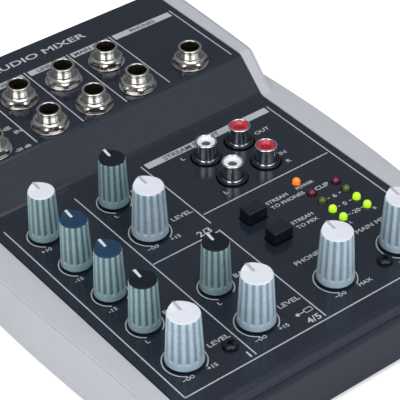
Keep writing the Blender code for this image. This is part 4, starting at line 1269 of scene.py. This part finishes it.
class CONSOLE_OT_printing(bpy.types.Operator):
    """Print the rules, scales, headings and words on both decks"""

    bl_idname = "console.printing"
    bl_label = "Printing"

    def execute(self, context):
        self.light, self.dark = Printing(), Printing()
        self.strip_rules()
        self.knob_scales()
        self.control_words()
        self.lamp_words()
        self.deck_print()
        self.light.shape.piece("legend_light", [finish("legend_ink")], slot="legend_ink", sharp=60)
        self.dark.shape.piece("legend_dark", [finish("legend_dark")], slot="panel_black", sharp=60)
        return {"FINISHED"}

    def strip_rules(self):
        """Rules that divide the control deck into channel strips."""
        z = CONTROL_Z
        x = STRIP_X
        rear, front = 19.3 * MM, -85.7 * MM
        self.light.rule([(x[0], rear), (x[0], front)], z)
        self.light.rule([(x[0], front), (x[3], front)], z)
        self.light.rule([(x[3], rear + 0.3 * MM), (x[3], front)], z)
        self.light.rule([(x[1], rear), (x[1], -84.3 * MM)], z)
        self.light.rule([(x[2], rear), (x[2], -22.4 * MM)], z)
        self.light.rule([(x[2], -27.0 * MM), (x[2], -84.3 * MM)], z)
        self.light.rule([(x[1], -27.6 * MM), (x[2], -27.6 * MM)], z)
        self.light.rule([(x[2] + 1.0 * MM, -17.0 * MM), (x[3] - 1.0 * MM, -17.0 * MM)], z)
        bar_y = 18.05 * MM
        self.light.rule([(x[2] + 1.5 * MM, bar_y), (x[3] - 1.3 * MM, bar_y)], z, 3.3 * MM)
        self.dark.word("STREAM IN/OUT", x[2] + 9.5 * MM, bar_y, z + INK_HEIGHT, 2.3 * MM, width=1.12)

    def knob_scales(self):
        """An arc round each knob over the range that it turns through, and the words at its ends."""
        z = CONTROL_Z
        ends = {
            "gain": ("+10", "+40"),
            "eq_high": ("-15", "+15"),
            "eq_low": ("-15", "+15"),
            "pan": ("L", "R"),
            "balance_23": ("L", "R"),
            "balance_45": ("L", "R"),
            "phones": ("-∞", "MAX"),
        }
        names = {
            "gain": "GAIN", "eq_high": "HIGH", "eq_low": "LOW", "pan": "PAN", "level_1": "LEVEL",
            "balance_23": "BAL", "level_23": "LEVEL", "balance_45": "BAL", "level_45": "LEVEL",
        }
        for name, (x, y, _) in KNOB_AXES.items():
            large = name in LARGE_KNOBS
            radius = (7.6 if large else 6.35) * MM
            self.light.rule(arc((x, y), radius, 240, -60, 64), z, 0.42 * MM)
            low, high = ends.get(name, ("-∞", "+15"))
            drop = (7.5 if large else 7.1) * MM
            if low == "-∞":
                self.endless(x - 4.4 * MM, y - drop, z)
            else:
                self.light.word(low, x - 4.1 * MM, y - drop, z, 1.7 * MM, "centre", 1.15)
            aside = (6.6 if high == "MAX" else 5.3) * MM
            self.light.word(high, x + aside, y - drop - 0.2 * MM, z, 1.7 * MM, "centre", 1.15)
            if name in names:
                aside = (9.9 if large else 8.2) * MM
                self.light.word(names[name], x + aside, y + 0.6 * MM, z, 2.1 * MM, width=1.2)

    def endless(self, x, y, z):
        """A minus and the sign for infinity, a figure of eight: at parameter t its point is
        (cos t, sin t cos t) over (1 + sin t squared)."""
        t = np.arange(60) * TAU / 60
        eight = np.stack([np.cos(t), np.sin(t) * np.cos(t)], -1) / (1 + np.sin(t) ** 2)[:, None]
        self.light.rule(eight * (1.45 * MM, 1.7 * MM) + (x + 0.9 * MM, y), z, 0.3 * MM, closed=True)
        self.light.rule([(x - 2.1 * MM, y), (x - 1.0 * MM, y)], z, 0.3 * MM)

    def control_words(self):
        """Channel numbers, and the names of keys, large knobs and phono sockets."""
        z = CONTROL_Z
        x = STRIP_X
        self.light.word("1", x[1] - 1.9 * MM, -82.7 * MM, z, 3.0 * MM, "centre", 1.2)
        self.light.word("2/3", x[2] - 4.9 * MM, -24.8 * MM, z, 3.0 * MM, "centre", 1.15)
        self.light.word("4/5", x[2] - 4.0 * MM, -82.7 * MM, z, 2.8 * MM, "centre", 1.15)
        self.port_mark(x[2] - 4.3 * MM, -78.3 * MM, z)
        for name, first in (("stream_phones", "TO PHONES"), ("stream_mix", "TO MIX")):
            key_x, key_y = centre_of(f"button_{name}")
            self.light.word("STREAM", key_x + 8.2 * MM, key_y + 2.9 * MM, z, 1.75 * MM, width=1.15)
            self.light.word(first, key_x + 8.2 * MM, key_y - 0.1 * MM, z, 1.75 * MM, width=1.15)
        phones, main = KNOB_AXES["phones"], KNOB_AXES["main_mix"]
        self.light.word("PHONES", phones[0], phones[1] + 14.0 * MM, z, 2.0 * MM, "centre", 1.2)
        self.light.word("MAIN MIX", main[0], main[1] + 13.7 * MM, z, 2.0 * MM, "centre", 1.2)
        places = phono_places()
        out_x, out_y = places["out_right"]
        in_x, in_y = places["in_right"]
        left_x, _ = places["out_left"]
        self.light.word("OUT", out_x + 7.4 * MM, out_y, z, 1.85 * MM, width=1.25)
        self.light.word("IN", in_x + 6.6 * MM, in_y + 0.2 * MM, z, 1.85 * MM, width=1.25)
        self.light.word("R", in_x + 6.8 * MM, in_y - 4.9 * MM, z, 1.85 * MM, "centre", 1.2)
        self.light.word("L", left_x - 7.4 * MM, out_y + 4.7 * MM, z, 1.85 * MM, "centre", 1.2)
        self.light.word("L", left_x - 7.3 * MM, in_y - 5.2 * MM, z, 1.85 * MM, "centre", 1.2)

    def port_mark(self, x, y, z):
        """A plain plug outline: a rounded box, a short lead and a dot."""
        box = rounded_rectangle(1.5 * MM, 0.9 * MM, 0.35 * MM, 4) + (x + 1.6 * MM, y)
        self.light.rule(box, z, 0.3 * MM, closed=True)
        self.light.rule([(x + 0.1 * MM, y), (x - 2.4 * MM, y)], z, 0.35 * MM)
        radius, top = 0.75 * MM, z + INK_HEIGHT
        dot = turned([(0.0, z), (radius, z), (radius, top), (0.0, top)], (x - 2.9 * MM, y), 20)
        self.light.shape.grid(dot, caps=(False, False))

    def lamp_words(self):
        """The meter's numbers with a dash to each side, and the names of the lamps."""
        z = CONTROL_Z
        places = lamp_places()
        power = places[0]
        left = [place for place in places[1:] if place[0] < power[0] + MM]
        right_x = max(place[0] for place in places)
        middle = (power[0] + right_x) / 2
        for (_, y, _), text in zip(left, ("-20", "0", "6", "CLIP")):
            lift = 1.2 * MM if text == "CLIP" else 0.0
            self.light.word(text, middle, y + lift, z, 2.0 * MM, "centre", 1.15)
            if text != "CLIP":
                for way in (-1, 1):
                    near = middle + way * (2.5 if text == "-20" else 2.1) * MM
                    self.light.rule([(near, y), (near + way * 1.1 * MM, y)], z, 0.35 * MM)
        front = left[0][1]
        self.light.word("L", left[0][0] + 0.3 * MM, front - 3.6 * MM, z, 1.4 * MM, "centre", 1.1)
        self.light.word("R", right_x + 1.0 * MM, front - 3.0 * MM, z, 1.4 * MM, "centre", 1.1)
        self.light.word("POWER", power[0] - 2.6 * MM, power[1] - 3.0 * MM, z, 1.5 * MM, width=1.1)

    def deck_print(self):
        """Headings, dividing rules and jack names on the raised deck."""
        z = DECK_Z
        dividers = (-29.7 * MM, -9.1 * MM, 10.6 * MM, 30.7 * MM, 60.6 * MM)
        headings = ("LINE IN", "LINE IN", "MAIN OUT", "PHONES")
        rear, front, gap, bar = 82.0 * MM, 41.9 * MM, 1.2 * MM, 3.3 * MM
        first, bar_y = STRIP_X[0], 79.95 * MM
        upper_bar_y = bar_y + 6.8 * MM
        for x in dividers:
            self.light.rule([(x, rear), (x, front)], z)
        for start, end, text in zip(dividers, dividers[1:], headings):
            self.light.rule([(start + gap, bar_y), (end - gap, bar_y)], z, bar)
            self.dark.word(text, (start + end) / 2, bar_y, z + INK_HEIGHT, 2.0 * MM, "centre", 1.15)
        self.light.rule([(first, rear), (first, front)], z)
        self.light.rule([(first + gap, upper_bar_y), (dividers[0] - gap, upper_bar_y)], z, bar)
        middle = (first + dividers[0]) / 2
        self.dark.word("MIC", middle, upper_bar_y, z + INK_HEIGHT, 2.0 * MM, "centre", 1.15)
        x, y = centre_of("jack_line_1")
        self.light.word("LINE", x + 9.3 * MM, y + 8.0 * MM, z, 2.1 * MM, "centre", 1.2)
        self.light.word("IN", x + 13.6 * MM, y + 4.1 * MM, z, 2.1 * MM, "centre", 1.2)
        self.light.word("-20 dB", x + 6.0 * MM, y - 5.6 * MM, z, 1.6 * MM, width=1.15)
        self.light.word("AUDIO MIXER", 2.0 * MM, 89.5 * MM, z, 3.4 * MM, "centre", 1.5)


# ---- carried-over nodes -------------------------------------------------------------------
class CONSOLE_OT_repaint(bpy.types.Operator):
    """Give the nodes that stay in view their own finishes"""

    bl_idname = "console.repaint"
    bl_label = "Inner pieces"

    def execute(self, context):
        own = {"base_tray": "tray_coat", "main_board": "board_laminate"}
        for node, obj in frame["nodes"].items():
            name = "plated_steel" if node.startswith("shaft_") else own.get(node)
            if name:
                for place in obj.material_slots:
                    place.material = finish(name)
        return {"FINISHED"}


# ---- stage --------------------------------------------------------------------------------
def towards(azimuth, elevation):
    """The unit vector (sin a cos e, -cos a cos e, sin e)."""
    flat = math.cos(elevation)
    return Vector((math.sin(azimuth) * flat, -math.cos(azimuth) * flat, math.sin(elevation)))


def by_ray(tree, ray, usual, special, output):
    """Gives one kind of ray a shader of its own, and every other ray the usual one."""
    nodes, links = tree.nodes, tree.links
    mix = nodes.new("ShaderNodeMixShader")
    path = nodes.new("ShaderNodeLightPath")
    links.new(path.outputs[ray], mix.inputs["Fac"])
    links.new(usual, mix.inputs[1])
    links.new(special, mix.inputs[2])
    links.new(mix.outputs["Shader"], nodes[output].inputs["Surface"])


class CONSOLE_OT_camera(bpy.types.Operator):
    """Set the camera"""

    bl_idname = "console.camera"
    bl_label = "Camera"

    def execute(self, context):
        view = context.scene.console_view
        data = bpy.data.cameras.new("camera")
        data.lens = view.lens
        data.sensor_width = 36.0
        data.clip_start, data.clip_end = 0.01, 10.0
        camera = bpy.data.objects.new("camera", data)
        context.scene.collection.objects.link(camera)
        back = towards(view.azimuth, view.elevation)
        aim = Vector((view.aim_x, view.aim_y, CONTROL_Z))
        turn = (-back).to_track_quat("-Z", "Y").to_matrix().to_4x4() @ Matrix.Rotation(view.roll, 4, "Z")
        camera.matrix_world = Matrix.Translation(aim + back * view.distance) @ turn
        context.scene.camera = camera
        return {"FINISHED"}


class CONSOLE_OT_stage(bpy.types.Operator):
    """Set the pale floor, the soft boxes and the surroundings"""

    bl_idname = "console.stage"
    bl_label = "Stage"

    def execute(self, context):
        self.floor()
        self.soft_box("key_left", -75, 38, 1.3, (0.75, 1.2), 6.9)
        self.soft_box("key_right", 0, 44, 1.3, (0.65, 1.1), 4.4)
        self.soft_box("fill_right", 33, 30, 1.4, (0.8, 1.1), 2.1, (0.80, 0.88, 1.0))
        self.soft_box("overhead", 0, 82, 1.4, (1.1, 0.9), 6.0)
        self.surroundings(context.scene)
        context.scene.view_settings.view_transform = "Standard"
        return {"FINISHED"}

    def floor(self):
        """A pale disc, darker in reflections, so that the glossy front doesn't mirror it."""
        a, radius = np.linspace(0, TAU, 65)[:-1], 3.0
        ring = np.stack([radius * np.cos(a), radius * np.sin(a), 0 * a], -1)
        disc = np.stack([0 * ring, ring])
        obj = bpy.data.objects.new("floor", Shape().grid(disc, caps=(False, False)).data("floor"))
        bpy.context.scene.collection.objects.link(obj)
        made = principled("floor_white", (0.93, 0.93, 0.94), 0.9)
        shader = made.node_tree.nodes["Principled BSDF"]
        shader.inputs["Emission Color"].default_value = (1.0, 1.0, 1.0, 1.0)
        shader.inputs["Emission Strength"].default_value = 0.45
        shader.inputs["Specular IOR Level"].default_value = 0.0
        dark = made.node_tree.nodes.new("ShaderNodeBsdfDiffuse")
        dark.inputs["Color"].default_value = (0.46, 0.47, 0.51, 1.0)
        shades = shader.outputs["BSDF"], dark.outputs["BSDF"]
        by_ray(made.node_tree, "Is Glossy Ray", *shades, "Material Output")
        obj.data.materials.append(made)
        if obj.data.polygons[0].normal.z < 0:
            obj.data.flip_normals()

    def soft_box(self, name, azimuth, elevation, distance, size, power, tint=(1.0, 1.0, 1.0)):
        """A rectangular light that faces the origin, placed by angles in degrees."""
        back = towards(math.radians(azimuth), math.radians(elevation))
        light = bpy.data.lights.new(name, "AREA")
        light.shape = "RECTANGLE"
        light.size, light.size_y = size
        light.energy = power
        light.color = tint
        obj = bpy.data.objects.new(name, light)
        bpy.context.scene.collection.objects.link(obj)
        turn = (-back).to_track_quat("-Z", "Y").to_matrix().to_4x4()
        obj.matrix_world = Matrix.Translation(back * distance) @ turn

    def surroundings(self, scene):
        """A grey room that brightens overhead, plain white where the camera looks past it."""
        world = bpy.data.worlds.new("studio")
        world.use_nodes = True
        nodes, links = world.node_tree.nodes, world.node_tree.links
        room = nodes["Background"]
        direction = nodes.new("ShaderNodeTexCoord").outputs["Generated"]
        parts = nodes.new("ShaderNodeSeparateXYZ")
        links.new(direction, parts.inputs["Vector"])
        ramp = nodes.new("ShaderNodeValToRGB")
        ramp.color_ramp.elements[0].position = 0.02
        ramp.color_ramp.elements[0].color = (0.10, 0.11, 0.13, 1.0)
        ramp.color_ramp.elements[1].position = 0.9
        ramp.color_ramp.elements[1].color = (0.80, 0.83, 0.90, 1.0)
        links.new(parts.outputs["Z"], ramp.inputs["Fac"])
        links.new(ramp.outputs["Color"], room.inputs["Color"])
        room.inputs["Strength"].default_value = 0.5
        plain = nodes.new("ShaderNodeBackground")
        plain.inputs["Color"].default_value = (1.0, 1.0, 1.0, 1.0)
        outputs = room.outputs["Background"], plain.outputs["Background"]
        by_ray(world.node_tree, "Is Camera Ray", *outputs, "World Output")
        scene.world = world


class CONSOLE_PT_main(bpy.types.Panel):
    """Lists the console's operators in the sidebar"""

    bl_idname = "CONSOLE_PT_main"
    bl_label = "Mixing console"
    bl_space_type = "VIEW_3D"
    bl_region_type = "UI"
    bl_category = "Console"

    def draw(self, context):
        for operator in OPERATORS:
            self.layout.operator(operator.bl_idname)


OPERATORS = (
    CONSOLE_OT_camera,
    CONSOLE_OT_stage,
    CONSOLE_OT_panel,
    CONSOLE_OT_cheeks,
    CONSOLE_OT_jacks,
    CONSOLE_OT_phonos,
    CONSOLE_OT_microphone_socket,
    CONSOLE_OT_rear_sockets,
    CONSOLE_OT_lamps,
    CONSOLE_OT_knobs,
    CONSOLE_OT_keys,
    CONSOLE_OT_fasteners,
    CONSOLE_OT_printing,
    CONSOLE_OT_repaint,
)
GROUPS = {"console_sizes": ConsoleSizes, "console_colours": ConsoleColours, "console_view": ConsoleView}


def register():
    for group in GROUPS.values():
        bpy.utils.register_class(group)
    for name, group in GROUPS.items():
        setattr(bpy.types.Scene, name, PointerProperty(type=group))
    for operator in OPERATORS:
        bpy.utils.register_class(operator)
    bpy.utils.register_class(CONSOLE_PT_main)


def unregister():
    bpy.utils.unregister_class(CONSOLE_PT_main)
    for operator in reversed(OPERATORS):
        bpy.utils.unregister_class(operator)
    for name, group in GROUPS.items():
        delattr(bpy.types.Scene, name)
        bpy.utils.unregister_class(group)


def main():
    register()
    for operator in OPERATORS:
        group, name = operator.bl_idname.split(".")
        getattr(getattr(bpy.ops, group), name)()
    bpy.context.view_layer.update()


if __name__ == "__main__":
    main()
